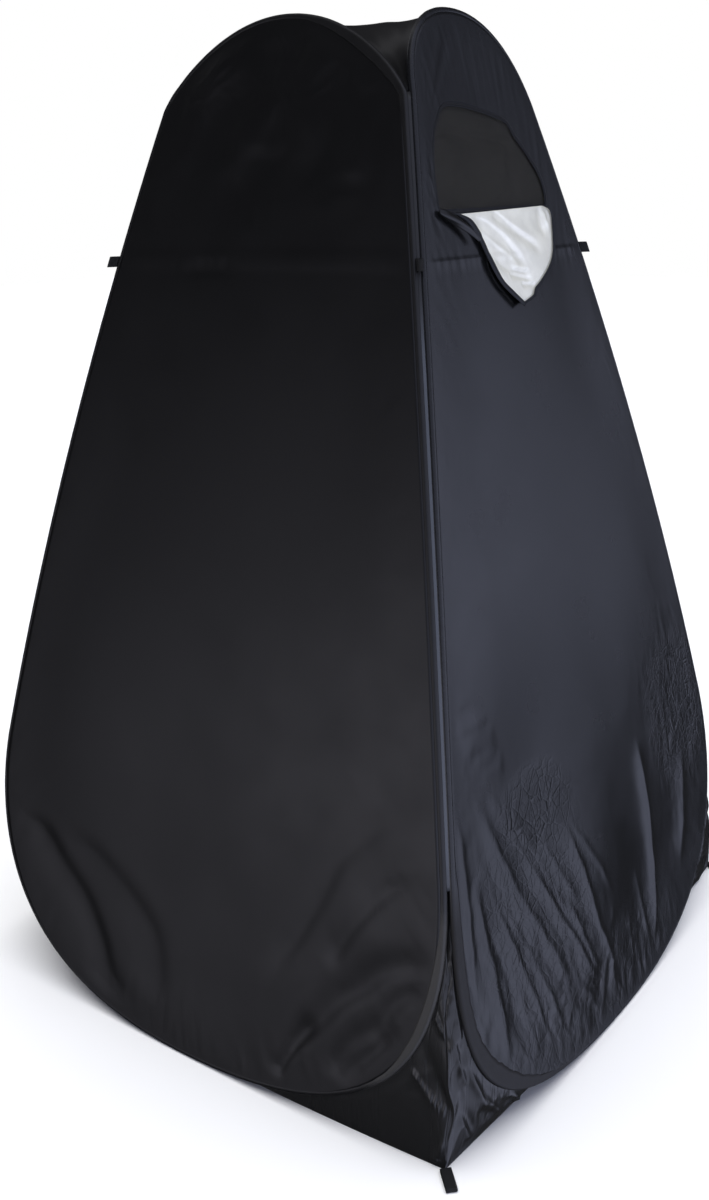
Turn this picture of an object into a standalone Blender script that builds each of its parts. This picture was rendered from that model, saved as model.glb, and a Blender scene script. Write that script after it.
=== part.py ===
"""A pop-up shower tent: four cloth walls in spring hoops, a roof membrane and four corner gussets.

Metres, +Z up, origin on the ground at the middle of the tent. The plain front wall faces -Y and the
window wall faces +X. Cloth is built 2 mm thick; every piece keeps a small gap to its neighbour.
"""

import math

import bpy
import numpy as np
from mathutils import Matrix, Vector

# Cloth, and the gap that touching pieces keep
CLOTH = 0.002
GAP = 0.0003
# Heights where neighbouring hoops meet and part along each corner
LOW_SPLIT = 0.520
HIGH_SPLIT = 1.760
# Corner line: half widths of the tent along X and along Y at the high split, low split and ground
HALF_X = (0.290, 0.565, 0.662)
HALF_Y = (0.212, 0.539, 0.640)
CORNER_BULGE = (0.015, 0.017)
# Tops of the hoops, and how far each crown sways to the right seen from outside; the side hoop sags
FRONT_TOP = 1.917
WINDOW_TOP = 1.914
SIDE_TOP = 1.872
CROWN_SWAY = 0.018
SIDE_SWAY = -0.010
# Handle lengths of the hoops' arcs: at the high split, at the top, at the low split, at the ground
FRONT_ARC = (0.020, 0.165, 0.200, 0.520)
SIDE_ARC = (0.025, 0.160, 0.190, 0.520)
# At the near corner the two feet run together further down: side of the wall, handles of that foot
NEAR_FEET = {"front": (1, 0.300, 0.500), "window": (-1, 0.270, 0.640)}
# Spring hoop in its cloth sleeve: radius, and the curve's bevel steps
SLEEVE_RADIUS = 0.007
SLEEVE_RESOLUTION = 2
# Points along a hoop: top to high split, high split to low split, low split to ground
TOP_STEPS = 9
SIDE_STEPS = 7
LOW_STEPS = 13
# How far behind the corner line a hoop's wall lies, and how far beside it its middle line runs
STAGGER_NEAR = 0.003
STAGGER_FAR = STAGGER_NEAR + (2 * SLEEVE_RADIUS + GAP) / math.sqrt(2)
# Room between a sleeve and the edge of the roof or a gusset, and how far behind the sleeves they meet
SEAM_CLEARANCE = 0.0013
CORNER_INSET = 0.0075
# How far below its border's mean height the roof's edges aim, and how often it is softened
ROOF_DIP = 0.05
ROOF_SWEEPS = 19
# Ground corners: where pegs would pull a gusset out to, and where a loose one hangs tucked in
PEGGED_CORNER = (0.595, 0.604)
TUCKED_CORNER = (0.455, 0.465)
# Gusset: hem above the ground, hem behind the hoop's foot, the ridge's handles (outwards and down
# from its start, up from its end), those of the near corner's ridge, and its steps
HEM_LIFT = 0.0005
HEM_SETBACK = 0.012
RIDGE_HANDLES = (0.0, 0.180, 0.220)
NEAR_RIDGE_HANDLES = (0.010, 0.160, 0.280)
RIDGE_STEPS = 5
FACET_STEPS = 3
# Window in the +X wall: sill height, arch height, half width, middle along Y, squareness
WINDOW_SILL = 1.572
WINDOW_RISE = 0.176
WINDOW_HALF = 0.192
WINDOW_MIDDLE = -0.010
ARCH_POWER = 2.4
ARCH_STEPS = 24
BINDING_WIDTH = 0.012
BINDING_THICK = 0.0012
MESH_THICK = 0.001
# Window cover, folded down: its corners and tip along Y, and its drop below the sill
FLAP_LEFT = -0.160
FLAP_RIGHT = 0.190
FLAP_TIP = 0.021
FLAP_DROP = 0.160
FLAP_END = 0.985
# Curves of its right edge, its left edge and its curl away from the wall, as powers of the drop
FLAP_RIGHT_POWER = 1.9
FLAP_LEFT_POWER = 1.3
FLAP_CURL_POWER = 1.4
FLAP_ROWS = 10
FLAP_COLUMNS = 7
# How far the cover stands off the wall at its top and, on top of that, at its tip
FLAP_CLEARANCE = 0.0024
FLAP_STAND_OFF = 0.022
# Binding along its free edge: thickness, rise off the cover's middle, start below the sill, points
FLAP_EDGE = 0.004
FLAP_EDGE_LIFT = 0.0015
FLAP_EDGE_START = 0.02
FLAP_EDGE_STEPS = 9
# Zipped door in the back wall: threshold, top of the arch, half width, squareness
DOOR_SILL = 0.190
DOOR_TOP = 1.560
DOOR_HALF = 0.235
DOOR_POWER = 3.4
DOOR_STEPS = 36
ZIP_WIDTH = 0.026
ZIP_THICK = 0.0015
SLIDER_SIZE = (0.010, 0.008, 0.022)
SLIDER_RISE = 0.044
# Webbing loops: guy loops on the corner line, peg loops on the ground. GUY_SINK allows for the
# sleeves' flat facets, which lie inside their round radius.
GUY_HEIGHT = 1.492
WEBBING = 0.020
WEBBING_THICK = 0.0014
LOOP_SEAM = 0.004
LOOP_STEPS = 5
GUY_REACH = 0.022
GUY_OPENING = 0.0076
GUY_SINK = 0.0003
PEG_REACH = 0.052
PEG_OPENING = 0.0060
PEG_SEAT = 0.0018
TUCKED_SEAT = 0.0049
# How far a cutter reaches to each side of its wall, and the height step for a slope
CUTTER_REACH = 0.12
SLOPE_STEP = 0.01


def clear_scene():
    for old in list(bpy.data.objects):
        bpy.data.objects.remove(old, do_unlink=True)


def finish_material(name, colour, roughness, metallic=0.0):
    """A plain Principled material."""
    material = bpy.data.materials.new(name)
    material.use_nodes = True
    shader = material.node_tree.nodes["Principled BSDF"]
    shader.inputs["Base Color"].default_value = (*colour, 1.0)
    shader.inputs["Roughness"].default_value = roughness
    shader.inputs["Metallic"].default_value = metallic
    return material


def half_width(z, widths, bulge):
    """Half width of the tent at height z: a shallow parabola between the splits, straight below."""
    high, low, ground = widths
    t = (z - LOW_SPLIT) / (HIGH_SPLIT - LOW_SPLIT)
    upper = low + (high - low) * t + 4 * bulge * t * (1 - t)
    lower = low + (ground - low) * (LOW_SPLIT - z) / LOW_SPLIT
    return np.where(z > LOW_SPLIT, upper, lower)


def side_slope(z, widths, bulge):
    """Change of the half width per metre of height between z and a step further from the ground."""
    low, high = half_width(np.array([z, z + SLOPE_STEP]), widths, bulge)
    return float(high - low) / SLOPE_STEP


def bezier(a, b, c, d, count):
    """Points of a cubic curve from a to d with handles b and c."""
    t = np.linspace(0, 1, count)[:, None]
    return (1 - t) ** 3 * a + 3 * (1 - t) ** 2 * t * b + 3 * (1 - t) * t * t * c + t**3 * d


class Wall:
    """One side of the tent: its hoop's outline and how it lies in space.

    A point on it is (s, z): s sideways, to the right when seen from outside, and z the height.
    """

    def __init__(self, name, turn, along_x, top, sway):
        self.name = name
        self.turn = turn
        self.top = top
        self.sway = sway
        by_x, by_y = (HALF_X, CORNER_BULGE[0]), (HALF_Y, CORNER_BULGE[1])
        self.widths, self.bulge = by_x if along_x else by_y
        self.depths, self.depth_bulge = by_y if along_x else by_x
        self.arc = FRONT_ARC if along_x else SIDE_ARC

    def depth(self, z):
        return half_width(z, self.depths, self.depth_bulge) - STAGGER_NEAR

    def place(self, s, z, out=0.0):
        """World points of (s, z), standing out by out from the wall's middle surface."""
        s, z = np.broadcast_arrays(np.asarray(s, float), np.asarray(z, float))
        d = self.depth(z) + out
        x, y = s, -d
        for _ in range(self.turn):
            x, y = -y, x
        return np.stack([x, y, z], -1)

    def half_outline(self, side):
        """(s, z) of the hoop's middle line from its top down one side to the ground, unmirrored."""
        h_split, h_top, l_split, l_ground = self.arc
        near_side, near_split, near_ground = NEAR_FEET.get(self.name, (0, 0.0, 0.0))
        if side == near_side:
            l_split, l_ground = near_split, near_ground
        high = np.array([float(half_width(np.array(HIGH_SPLIT), self.widths, self.bulge)), HIGH_SPLIT])
        low = np.array([float(half_width(np.array(LOW_SPLIT), self.widths, self.bulge)), LOW_SPLIT])
        high[0] -= STAGGER_FAR
        low[0] -= STAGGER_FAR
        up = Vector((side_slope(HIGH_SPLIT - SLOPE_STEP, self.widths, self.bulge), 1)).normalized()
        down = -Vector((side_slope(LOW_SPLIT + SLOPE_STEP, self.widths, self.bulge), 1)).normalized()
        top = np.array([0, self.top - SLEEVE_RADIUS])
        ground = np.array([0, SLEEVE_RADIUS])
        crown = bezier(top, top + [h_top, 0], high + h_split * np.array(up), high, TOP_STEPS + 1)
        foot = bezier(low, low + l_split * np.array(down), ground + [l_ground, 0], ground, LOW_STEPS + 1)
        z = np.linspace(HIGH_SPLIT, LOW_SPLIT, SIDE_STEPS + 1)[1:-1]
        side = np.stack([half_width(z, self.widths, self.bulge) - STAGGER_FAR, z], 1)
        return np.concatenate([crown, side, foot])

    def swayed(self, points):
        """The outline with its crown moved sideways, more towards the top."""
        rise = np.clip((points[:, 1] - HIGH_SPLIT) / (self.top - HIGH_SPLIT), 0, 1)
        moved = points.copy()
        moved[:, 0] += self.sway * rise
        return moved

    def sides(self, inset=0.0):
        """Right and left halves of the outline, top to ground, moved inwards by inset."""
        half = self.half_outline(1)
        right = self.swayed(half)
        left = self.swayed(self.half_outline(-1) * [-1, 1])
        loop = np.concatenate([right, left[-2:0:-1]])
        ahead, behind = np.roll(loop, -1, 0), np.roll(loop, 1, 0)
        tangent = ahead - behind
        tangent /= np.linalg.norm(tangent, axis=1)[:, None]
        loop = loop + np.stack([tangent[:, 1], -tangent[:, 0]], 1) * inset
        count = len(half)
        left = np.concatenate([loop[:1], loop[: count - 2 : -1]])
        return loop[:count], left


WALLS = {
    "front": Wall("front", 0, True, FRONT_TOP, -CROWN_SWAY),
    "window": Wall("window", 1, False, WINDOW_TOP, -CROWN_SWAY),
    "back": Wall("back", 2, True, FRONT_TOP, CROWN_SWAY),
    "side": Wall("side", 3, False, SIDE_TOP, SIDE_SWAY),
}
# Each corner: its two walls, anticlockwise from above, its signs along X and Y, its ground corner, and
# where its peg loop starts: that far outwards from the corner, or inwards where it is below zero
CORNERS = {
    "front_right": ("front", "window", (1, -1), PEGGED_CORNER, PEG_SEAT),
    "back_right": ("window", "back", (1, 1), PEGGED_CORNER, PEG_SEAT),
    "back_left": ("back", "side", (-1, 1), PEGGED_CORNER, PEG_SEAT),
    "front_left": ("side", "front", (-1, -1), TUCKED_CORNER, -TUCKED_SEAT),
}


def add_object(name, data, material):
    thing = bpy.data.objects.new(name, data)
    bpy.context.scene.collection.objects.link(thing)
    if material:
        data.materials.append(material)
    return thing


def add_mesh(name, points, faces, material):
    mesh = bpy.data.meshes.new(name)
    mesh.from_pydata([tuple(map(float, p)) for p in points], [], [tuple(map(int, f)) for f in faces])
    mesh.update()
    return add_object(name, mesh, material)


def thicken(thing, thickness):
    """Gives a sheet its thickness, half to each side."""
    solidify = thing.modifiers.new("thickness", "SOLIDIFY")
    solidify.thickness = thickness
    solidify.offset = 0
    solidify.use_even_offset = True
    return thing


def cut(thing, cutter):
    boolean = thing.modifiers.new("cut", "BOOLEAN")
    boolean.operation = "DIFFERENCE"
    boolean.object = cutter
    boolean.solver = "EXACT"


def grid_faces(rows, columns):
    """Quads of a grid whose points are numbered row by row."""
    return [
        (r * columns + c, r * columns + c + 1, (r + 1) * columns + c + 1, (r + 1) * columns + c)
        for r in range(rows - 1)
        for c in range(columns - 1)
    ]


def add_tube(name, points, radius, resolution, closed, material):
    """Round bar along points: a ring when closed, else with capped ends."""
    curve = bpy.data.curves.new(name, "CURVE")
    curve.dimensions = "3D"
    curve.bevel_depth = radius
    curve.bevel_resolution = resolution
    curve.use_fill_caps = not closed
    spline = curve.splines.new("POLY")
    spline.points.add(len(points) - 1)
    for target, point in zip(spline.points, points):
        target.co = (*map(float, point), 1)
    spline.use_cyclic_u = closed
    return add_object(name, curve, material)


def add_hoop(wall, material):
    """Spring hoop in its sleeve: a closed tube along the wall's outline."""
    right, left = wall.sides()
    loop = np.concatenate([right, left[-2:0:-1]])
    points = wall.place(loop[:, 0], loop[:, 1])
    add_tube(wall.name + "_hoop", points, SLEEVE_RADIUS, SLEEVE_RESOLUTION, True, material)


def add_wall_cloth(wall, material):
    """Cloth inside one hoop: rows across, from the top point to the ground point."""
    right, left = wall.sides(SLEEVE_RADIUS + GAP)
    inner = np.concatenate([left[1:-1, None], right[1:-1, None]], 1).reshape(-1, 2)
    outline = np.concatenate([right[:1], inner, right[-1:]])
    points = wall.place(outline[:, 0], outline[:, 1])
    rows = len(right) - 2
    last = len(points) - 1
    faces = [(0, 1, 2)]
    faces += [(2 * r + 1, 2 * r + 3, 2 * r + 4, 2 * r + 2) for r in range(rows - 1)]
    faces.append((last - 2, last, last - 1))
    return thicken(add_mesh(wall.name + "_wall", points, faces, material), CLOTH)


def arch(half, rise, power, count):
    """(s, height) of an arch from its right foot over the top to its left foot."""
    angle = np.linspace(0, math.pi, count)
    c, s = np.cos(angle), np.sin(angle)
    return np.stack([half * np.sign(c) * np.abs(c) ** (2 / power), rise * np.abs(s) ** (2 / power)], 1)


def add_cutter(name, wall, outline):
    """Prism through a wall along its outward direction, from an outline of (s, z)."""
    count = len(outline)
    near = wall.place(outline[:, 0], outline[:, 1], -CUTTER_REACH)
    far = wall.place(outline[:, 0], outline[:, 1], CUTTER_REACH)
    points = np.concatenate([near, far])
    faces = [tuple(range(count - 1, -1, -1)), tuple(range(count, 2 * count))]
    faces += [(i, (i + 1) % count, (i + 1) % count + count, i + count) for i in range(count)]
    cutter = add_mesh(name, points, faces, None)
    cutter.hide_render = True
    cutter.display_type = "WIRE"
    return cutter


def add_patch(name, wall, outline, material, thickness, lift=0.0):
    """Piece lying in a wall's surface, from a convex outline of (s, z) with an even count."""
    half = len(outline) // 2
    pairs = np.stack([outline[::-1][:half], outline[:half]], 1).reshape(-1, 2)
    points = wall.place(pairs[:, 0], pairs[:, 1], lift)
    faces = [(2 * r, 2 * r + 1, 2 * r + 3, 2 * r + 2) for r in range(half - 1)]
    return thicken(add_mesh(name, points, faces, material), thickness)


def offset_outline(outline, distance):
    """A closed outline of (s, z), running anticlockwise, moved outwards."""
    tangent = np.roll(outline, -1, 0) - np.roll(outline, 1, 0)
    tangent /= np.linalg.norm(tangent, axis=1)[:, None]
    return outline + np.stack([tangent[:, 1], -tangent[:, 0]], 1) * distance


def add_band(name, wall, outline, inner, outer, material, thickness):
    """Tape on a wall's outside that follows a closed outline, from inner to outer beside it."""
    pairs = np.stack([offset_outline(outline, inner), offset_outline(outline, outer)], 1)
    pairs = pairs.reshape(-1, 2)
    points = wall.place(pairs[:, 0], pairs[:, 1], CLOTH / 2 + GAP + thickness / 2)
    count = len(outline)
    faces = [
        (2 * i, 2 * i + 1, 2 * ((i + 1) % count) + 1, 2 * ((i + 1) % count)) for i in range(count)
    ]
    return thicken(add_mesh(name, points, faces, material), thickness)


def leaving(points, targets):
    """Points moved from a hoop's middle line to just outside its sleeve, on the side of targets."""
    tangent = np.gradient(points, axis=0)
    tangent /= np.linalg.norm(tangent, axis=1)[:, None]
    way = targets - points
    way -= (way * tangent).sum(1)[:, None] * tangent
    way /= np.linalg.norm(way, axis=1)[:, None]
    return points + way * (SLEEVE_RADIUS + SEAM_CLEARANCE)


def corner_point(first, second):
    """Where cloth starts at a split: behind the two sleeves that touch there."""
    middle = (first + second) / 2
    inwards = -np.array([math.copysign(1, middle[0]), math.copysign(1, middle[1]), 0]) / math.sqrt(2)
    return middle + inwards * CORNER_INSET


def taut_grid(front, window, back, side):
    """Grid inside four borders, each running to the right seen from outside.

    Across each corner straight lines join the borders' points that lie as many steps from the corner. The
    middle is the bilinear patch between the four crowns.
    """
    count = len(front)
    half = count // 2
    row, column = np.mgrid[:count, :count]
    up, across = np.abs(row - half), np.abs(column - half)
    steps = np.minimum(2 * half - up - across, half)
    at_column = np.where(column < half, steps, count - 1 - steps)
    at_row = np.where(row < half, steps, count - 1 - steps)
    first = np.where((row < half)[..., None], front[at_column], back[::-1][at_column])
    second = np.where((column < half)[..., None], side[::-1][at_row], window[at_row])
    share = ((half - up) / np.maximum(2 * half - up - across, 1))[..., None]
    corner = first * (1 - share) + second * share
    a = ((column + row) / (2 * half) - 0.5)[..., None]
    b = ((column - row) / (2 * half) + 0.5)[..., None]
    low = side[half] * (1 - a) + back[half] * a
    high = front[half] * (1 - a) + window[half] * a
    middle = low * (1 - b) + high * b
    return np.where((up + across < half)[..., None], middle, corner)


def soften(grid, sweeps):
    """Moves each inner point of a grid to the mean of its four neighbours, sweeps times."""
    for _ in range(sweeps):
        around = grid[:-2, 1:-1] + grid[2:, 1:-1] + grid[1:-1, :-2] + grid[1:-1, 2:]
        grid[1:-1, 1:-1] = around / 4
    return grid


def add_roof(material):
    """Taut cloth between the crowns of the four hoops, dipping to each split."""
    arcs = {}
    for name, wall in WALLS.items():
        right, left = wall.sides()
        arc = np.concatenate([left[TOP_STEPS::-1], right[1 : TOP_STEPS + 1]])
        arcs[name] = wall.place(arc[:, 0], arc[:, 1])
    middle = np.mean([arc.mean(0) for arc in arcs.values()], 0)
    edges = {name: leaving(arc, middle - [0, 0, ROOF_DIP]) for name, arc in arcs.items()}
    for first, second in zip(WALLS, [*list(WALLS)[1:], "front"]):
        corner = corner_point(arcs[first][-1], arcs[second][0])
        edges[first][-1] = corner
        edges[second][0] = corner
    points = soften(taut_grid(**edges), ROOF_SWEEPS)
    count = len(points)
    return thicken(add_mesh("roof", points.reshape(-1, 3), grid_faces(count, count), material), CLOTH)


def ridge_line(start, ground, handles, count):
    """A gusset's outer fold: down behind the sleeves, then out to the ground corner."""
    outwards, drop, rise = handles
    way = np.sign(ground) * [1, 1, 0] / math.sqrt(2)
    return bezier(start, start + way * outwards - [0, 0, drop], ground + [0, 0, rise], ground, count)


def add_gusset(name, first, second, ground_corner, handles, material):
    """Cloth between two hoops' lower arcs and a ground corner: two facets and a ridge."""
    count = LOW_STEPS + 1
    arcs = []
    for wall, side in ((first, 0), (second, 1)):
        half = wall.sides()[side][-count:-1]
        arcs.append(wall.place(half[:, 0], half[:, 1]))
    start = corner_point(arcs[0][0], arcs[1][0])
    ground = ground_corner + [0, 0, HEM_LIFT]
    ridge = ridge_line(start, ground, handles, RIDGE_STEPS + 1)
    sides = []
    for wall, arc in zip((first, second), arcs):
        inwards = wall.place(0.0, 0.0, -HEM_SETBACK) - wall.place(0.0, 0.0)
        heel = arc[-1] + inwards
        heel[2] = HEM_LIFT
        share = np.linspace(0, 1, len(arc) - RIDGE_STEPS)[1:, None]
        edge = np.concatenate([ridge, ground + (heel - ground) * share])
        sides.append((leaving(arc, edge), edge))
    points = [start]
    faces = []
    rows = len(arcs[0])
    ridge_at = [0] + [None] * RIDGE_STEPS
    for i in range(1, RIDGE_STEPS + 1):
        ridge_at[i] = len(points)
        points.append(sides[0][1][i])
    for facet, (border, edge) in enumerate(sides):
        before = [0] * (FACET_STEPS + 1)
        for r in range(1, rows):
            row = []
            for c in range(FACET_STEPS + 1):
                if c == FACET_STEPS and r <= RIDGE_STEPS:
                    row.append(ridge_at[r])
                    continue
                row.append(len(points))
                points.append(border[r] + (edge[r] - border[r]) * c / FACET_STEPS)
            for c in range(FACET_STEPS):
                face = [before[c], row[c], row[c + 1], before[c + 1]]
                face = list(dict.fromkeys(face))
                faces.append(face if facet == 0 else face[::-1])
            before = row
    return thicken(add_mesh(name, points, faces, material), CLOTH)


def add_loop(name, place, reach, opening, width, material):
    """Webbing loop: a long ring of strap; place maps (out, across, along), right-handed, to a point."""
    high = opening / 2 + WEBBING_THICK
    turns = np.linspace(0.5 * math.pi, 1.5 * math.pi, LOOP_STEPS)

    def ring(height, near, far):
        inner_end = np.stack([near + height + height * np.cos(turns), height * np.sin(turns)], 1)
        outer_end = np.stack([far - height - height * np.cos(turns), -height * np.sin(turns)], 1)
        return np.concatenate([inner_end, outer_end])

    outside = ring(high, 0, reach)
    inside = ring(opening / 2, LOOP_SEAM, reach - WEBBING_THICK)
    count = len(outside)
    points = [
        place(out, across, along)
        for along in (-width / 2, width / 2)
        for outline in (outside, inside)
        for out, across in outline
    ]
    faces = []
    for i in range(count):
        j = (i + 1) % count
        faces.append((i, count + i, count + j, j))
        faces.append((2 * count + i, 2 * count + j, 3 * count + j, 3 * count + i))
        faces.append((i, j, 2 * count + j, 2 * count + i))
        faces.append((count + j, count + i, 3 * count + i, 3 * count + j))
    return add_mesh(name, points, faces, material)


def add_guy_loop(name, first, second, sign, material):
    """Loop for a guy line, sewn upright in the valley between two sleeves."""
    heights = np.array([GUY_HEIGHT - WEBBING / 2, GUY_HEIGHT, GUY_HEIGHT + WEBBING / 2])
    ends = []
    for wall, side in ((first, 1), (second, -1)):
        s = half_width(heights, wall.widths, wall.bulge) - STAGGER_FAR
        ends.append(wall.place(side * s, heights))
    low, middle, high = (ends[0] + ends[1]) / 2
    lean = (high - low) / WEBBING
    outwards = np.array([sign[0], sign[1], 0]) / math.sqrt(2)
    across_way = np.array([-outwards[1], outwards[0], 0])
    end_radius = GUY_OPENING / 2 + WEBBING_THICK
    spread = np.linalg.norm(ends[0][1] - ends[1][1]) / 2
    seat = math.sqrt((SLEEVE_RADIUS + end_radius + GAP - GUY_SINK) ** 2 - spread**2) - end_radius

    def place(out, across, along):
        return middle + outwards * (seat + out) + across_way * across + lean * along

    return add_loop(name, place, GUY_REACH, GUY_OPENING, WEBBING, material)


def add_peg_loop(name, ground_corner, sign, seat, material):
    """Loop for a peg, lying on the ground outside a gusset's corner, or inside it with seat below zero."""
    outwards = np.array([sign[0], sign[1], 0]) / math.sqrt(2) * math.copysign(1, seat)
    sideways = np.array([outwards[1], -outwards[0], 0])
    high = PEG_OPENING / 2 + WEBBING_THICK

    def place(out, across, along):
        flat = ground_corner + outwards * (abs(seat) + out) + sideways * along
        return flat + [0, 0, high + across]

    return add_loop(name, place, PEG_REACH, PEG_OPENING, WEBBING, material)


def flap_edges(v):
    """Left and right edge of the folded-down cover, v from 0 at the sill to 1 at its tip."""
    right = FLAP_TIP + (FLAP_RIGHT - FLAP_TIP) * (1 - v**FLAP_RIGHT_POWER) ** (1 / FLAP_RIGHT_POWER)
    left = FLAP_TIP - (FLAP_TIP - FLAP_LEFT) * (1 - v) ** FLAP_LEFT_POWER
    return left, right


def flap_place(wall, s, v, lift=0.0):
    """World points of the cover, hung from the lower edge of the window's tape."""
    z = WINDOW_SILL - BINDING_WIDTH / 2 - GAP - FLAP_DROP * v
    return wall.place(s, z, FLAP_CLEARANCE + FLAP_STAND_OFF * v**FLAP_CURL_POWER + lift)


def add_flap(wall, material, binding):
    """Window cover hanging from the sill, and the binding along its free edge."""
    v = np.linspace(0, FLAP_END, FLAP_ROWS)[:, None]
    left, right = flap_edges(v)
    s = left + (right - left) * np.linspace(0, 1, FLAP_COLUMNS)
    points = flap_place(wall, s, np.broadcast_to(v, s.shape)).reshape(-1, 3)
    thicken(add_mesh("window_flap", points, grid_faces(FLAP_ROWS, FLAP_COLUMNS), material), CLOTH)
    t = np.linspace(FLAP_EDGE_START, FLAP_END, FLAP_EDGE_STEPS)
    left, right = flap_edges(t)
    edge = np.concatenate([np.stack([left, t], 1), np.stack([right, t], 1)[::-1]])
    tangent = np.gradient(edge * [1, -FLAP_DROP], axis=0)
    tangent /= np.linalg.norm(tangent, axis=1)[:, None]
    shift = FLAP_EDGE / 2 + GAP * 2
    edge = edge + np.stack([tangent[:, 1], tangent[:, 0] / FLAP_DROP], 1) * shift
    points = flap_place(wall, edge[:, 0], edge[:, 1], FLAP_EDGE_LIFT)
    add_tube("flap_binding", points, FLAP_EDGE / 2, 1, False, binding)


def add_window(wall, cloth, net, binding):
    """Arched opening cut through the wall, the net in it, and the tape around it."""
    shape = arch(WINDOW_HALF, WINDOW_RISE, ARCH_POWER, ARCH_STEPS)
    outline = shape + [WINDOW_MIDDLE, WINDOW_SILL]
    cut(cloth, add_cutter("window_cutter", wall, outline))
    add_patch("window_mesh", wall, offset_outline(outline, -GAP), net, MESH_THICK)
    half = BINDING_WIDTH / 2
    add_band("window_binding", wall, outline, -half, half, binding, BINDING_THICK)


def add_door(wall, cloth, panel, tape, metal):
    """Arched door cut out of the wall, its zip tape over the slit, and the slider at its foot."""
    outline = arch(DOOR_HALF, DOOR_TOP - DOOR_SILL, DOOR_POWER, DOOR_STEPS) + [0, DOOR_SILL]
    cut(cloth, add_cutter("door_cutter", wall, outline))
    add_patch("door_panel", wall, offset_outline(outline, -GAP), panel, CLOTH)
    add_band("door_zip", wall, outline, -ZIP_WIDTH / 2, ZIP_WIDTH / 2, tape, ZIP_THICK)
    side, height = outline[0, 0], DOOR_SILL + SLIDER_RISE
    lift = CLOTH / 2 + ZIP_THICK + 2 * GAP + SLIDER_SIZE[1] / 2
    centre, high = (Vector(wall.place(side, height + step, lift)) for step in (0, SLOPE_STEP))
    bpy.ops.mesh.primitive_cube_add(size=1)
    slider = bpy.context.object
    slider.name = "door_slider"
    slider.data.name = "door_slider"
    slider.data.materials.append(metal)
    slider.data.transform(Matrix.Diagonal((*SLIDER_SIZE, 1)))
    slider.location = centre
    slider.rotation_mode = "QUATERNION"
    slider.rotation_quaternion = (high - centre).to_track_quat("Z", "Y")


def main():
    clear_scene()
    black_cloth = finish_material("black_cloth", (0.010, 0.011, 0.013), 0.55)
    blue_black_cloth = finish_material("blue_black_cloth", (0.018, 0.022, 0.030), 0.42)
    sleeve = finish_material("sleeve_binding", (0.014, 0.015, 0.019), 0.50)
    silver = finish_material("silver_lining", (0.62, 0.62, 0.63), 0.35, 0.4)
    net = finish_material("window_net", (0.020, 0.019, 0.018), 0.80)
    tape = finish_material("edge_tape", (0.010, 0.012, 0.020), 0.60)
    webbing = finish_material("webbing", (0.012, 0.012, 0.013), 0.75)
    metal = finish_material("slider_metal", (0.05, 0.05, 0.055), 0.35, 1.0)
    cloths = {}
    for name, wall in WALLS.items():
        cloth = blue_black_cloth if name == "window" else black_cloth
        add_hoop(wall, sleeve)
        cloths[name] = add_wall_cloth(wall, cloth)
    add_window(WALLS["window"], cloths["window"], net, tape)
    add_flap(WALLS["window"], silver, tape)
    add_door(WALLS["back"], cloths["back"], black_cloth, tape, metal)
    add_roof(black_cloth)
    for corner, (first, second, sign, reach, seat) in CORNERS.items():
        walls = (WALLS[first], WALLS[second])
        ground_corner = np.array([*sign, 0]) * [*reach, 0]
        handles = NEAR_RIDGE_HANDLES if corner == "front_right" else RIDGE_HANDLES
        add_gusset(corner + "_gusset", *walls, ground_corner, handles, blue_black_cloth)
        add_guy_loop(corner + "_guy_loop", *walls, sign, webbing)
        add_peg_loop(corner + "_peg_loop", ground_corner, sign, seat, webbing)


main()
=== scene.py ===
"""Looks of the pop-up shower tent: folded cloth, sleeves, net, lining, zip and webbing.

Metres, +Z up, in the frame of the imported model. Every cloth surface is worked out as a function of two
parameters on a grid; folds are heights added along a wall's outward direction.
"""

import math

import bpy
import numpy as np
from mathutils import Matrix


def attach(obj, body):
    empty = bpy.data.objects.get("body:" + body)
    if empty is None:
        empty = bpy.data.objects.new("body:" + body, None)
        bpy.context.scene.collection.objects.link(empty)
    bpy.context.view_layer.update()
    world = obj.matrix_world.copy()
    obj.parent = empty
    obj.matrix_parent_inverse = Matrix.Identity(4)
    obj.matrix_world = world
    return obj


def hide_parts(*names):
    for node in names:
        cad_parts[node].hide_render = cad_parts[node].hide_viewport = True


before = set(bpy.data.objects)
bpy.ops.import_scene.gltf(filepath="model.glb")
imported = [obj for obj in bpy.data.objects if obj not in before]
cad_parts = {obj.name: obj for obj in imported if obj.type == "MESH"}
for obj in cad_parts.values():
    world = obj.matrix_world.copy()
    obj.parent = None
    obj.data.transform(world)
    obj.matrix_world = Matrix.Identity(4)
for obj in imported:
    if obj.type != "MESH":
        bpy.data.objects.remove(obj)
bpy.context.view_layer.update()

# Construction sizes that the pieces follow: splits, half widths at high split, low split and ground
LOW_SPLIT, HIGH_SPLIT = 0.520, 1.760
HALF_X = (0.290, 0.565, 0.662)
HALF_Y = (0.212, 0.539, 0.640)
CORNER_BULGE = (0.015, 0.017)
FRONT_TOP, WINDOW_TOP, SIDE_TOP = 1.917, 1.914, 1.872
CROWN_SWAY, SIDE_SWAY = 0.018, -0.010
FRONT_ARC = (0.020, 0.165, 0.200, 0.520)
SIDE_ARC = (0.025, 0.160, 0.190, 0.520)
NEAR_FEET = {"front": (1, 0.300, 0.500), "window": (-1, 0.270, 0.640)}
SLEEVE = 0.007
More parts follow.
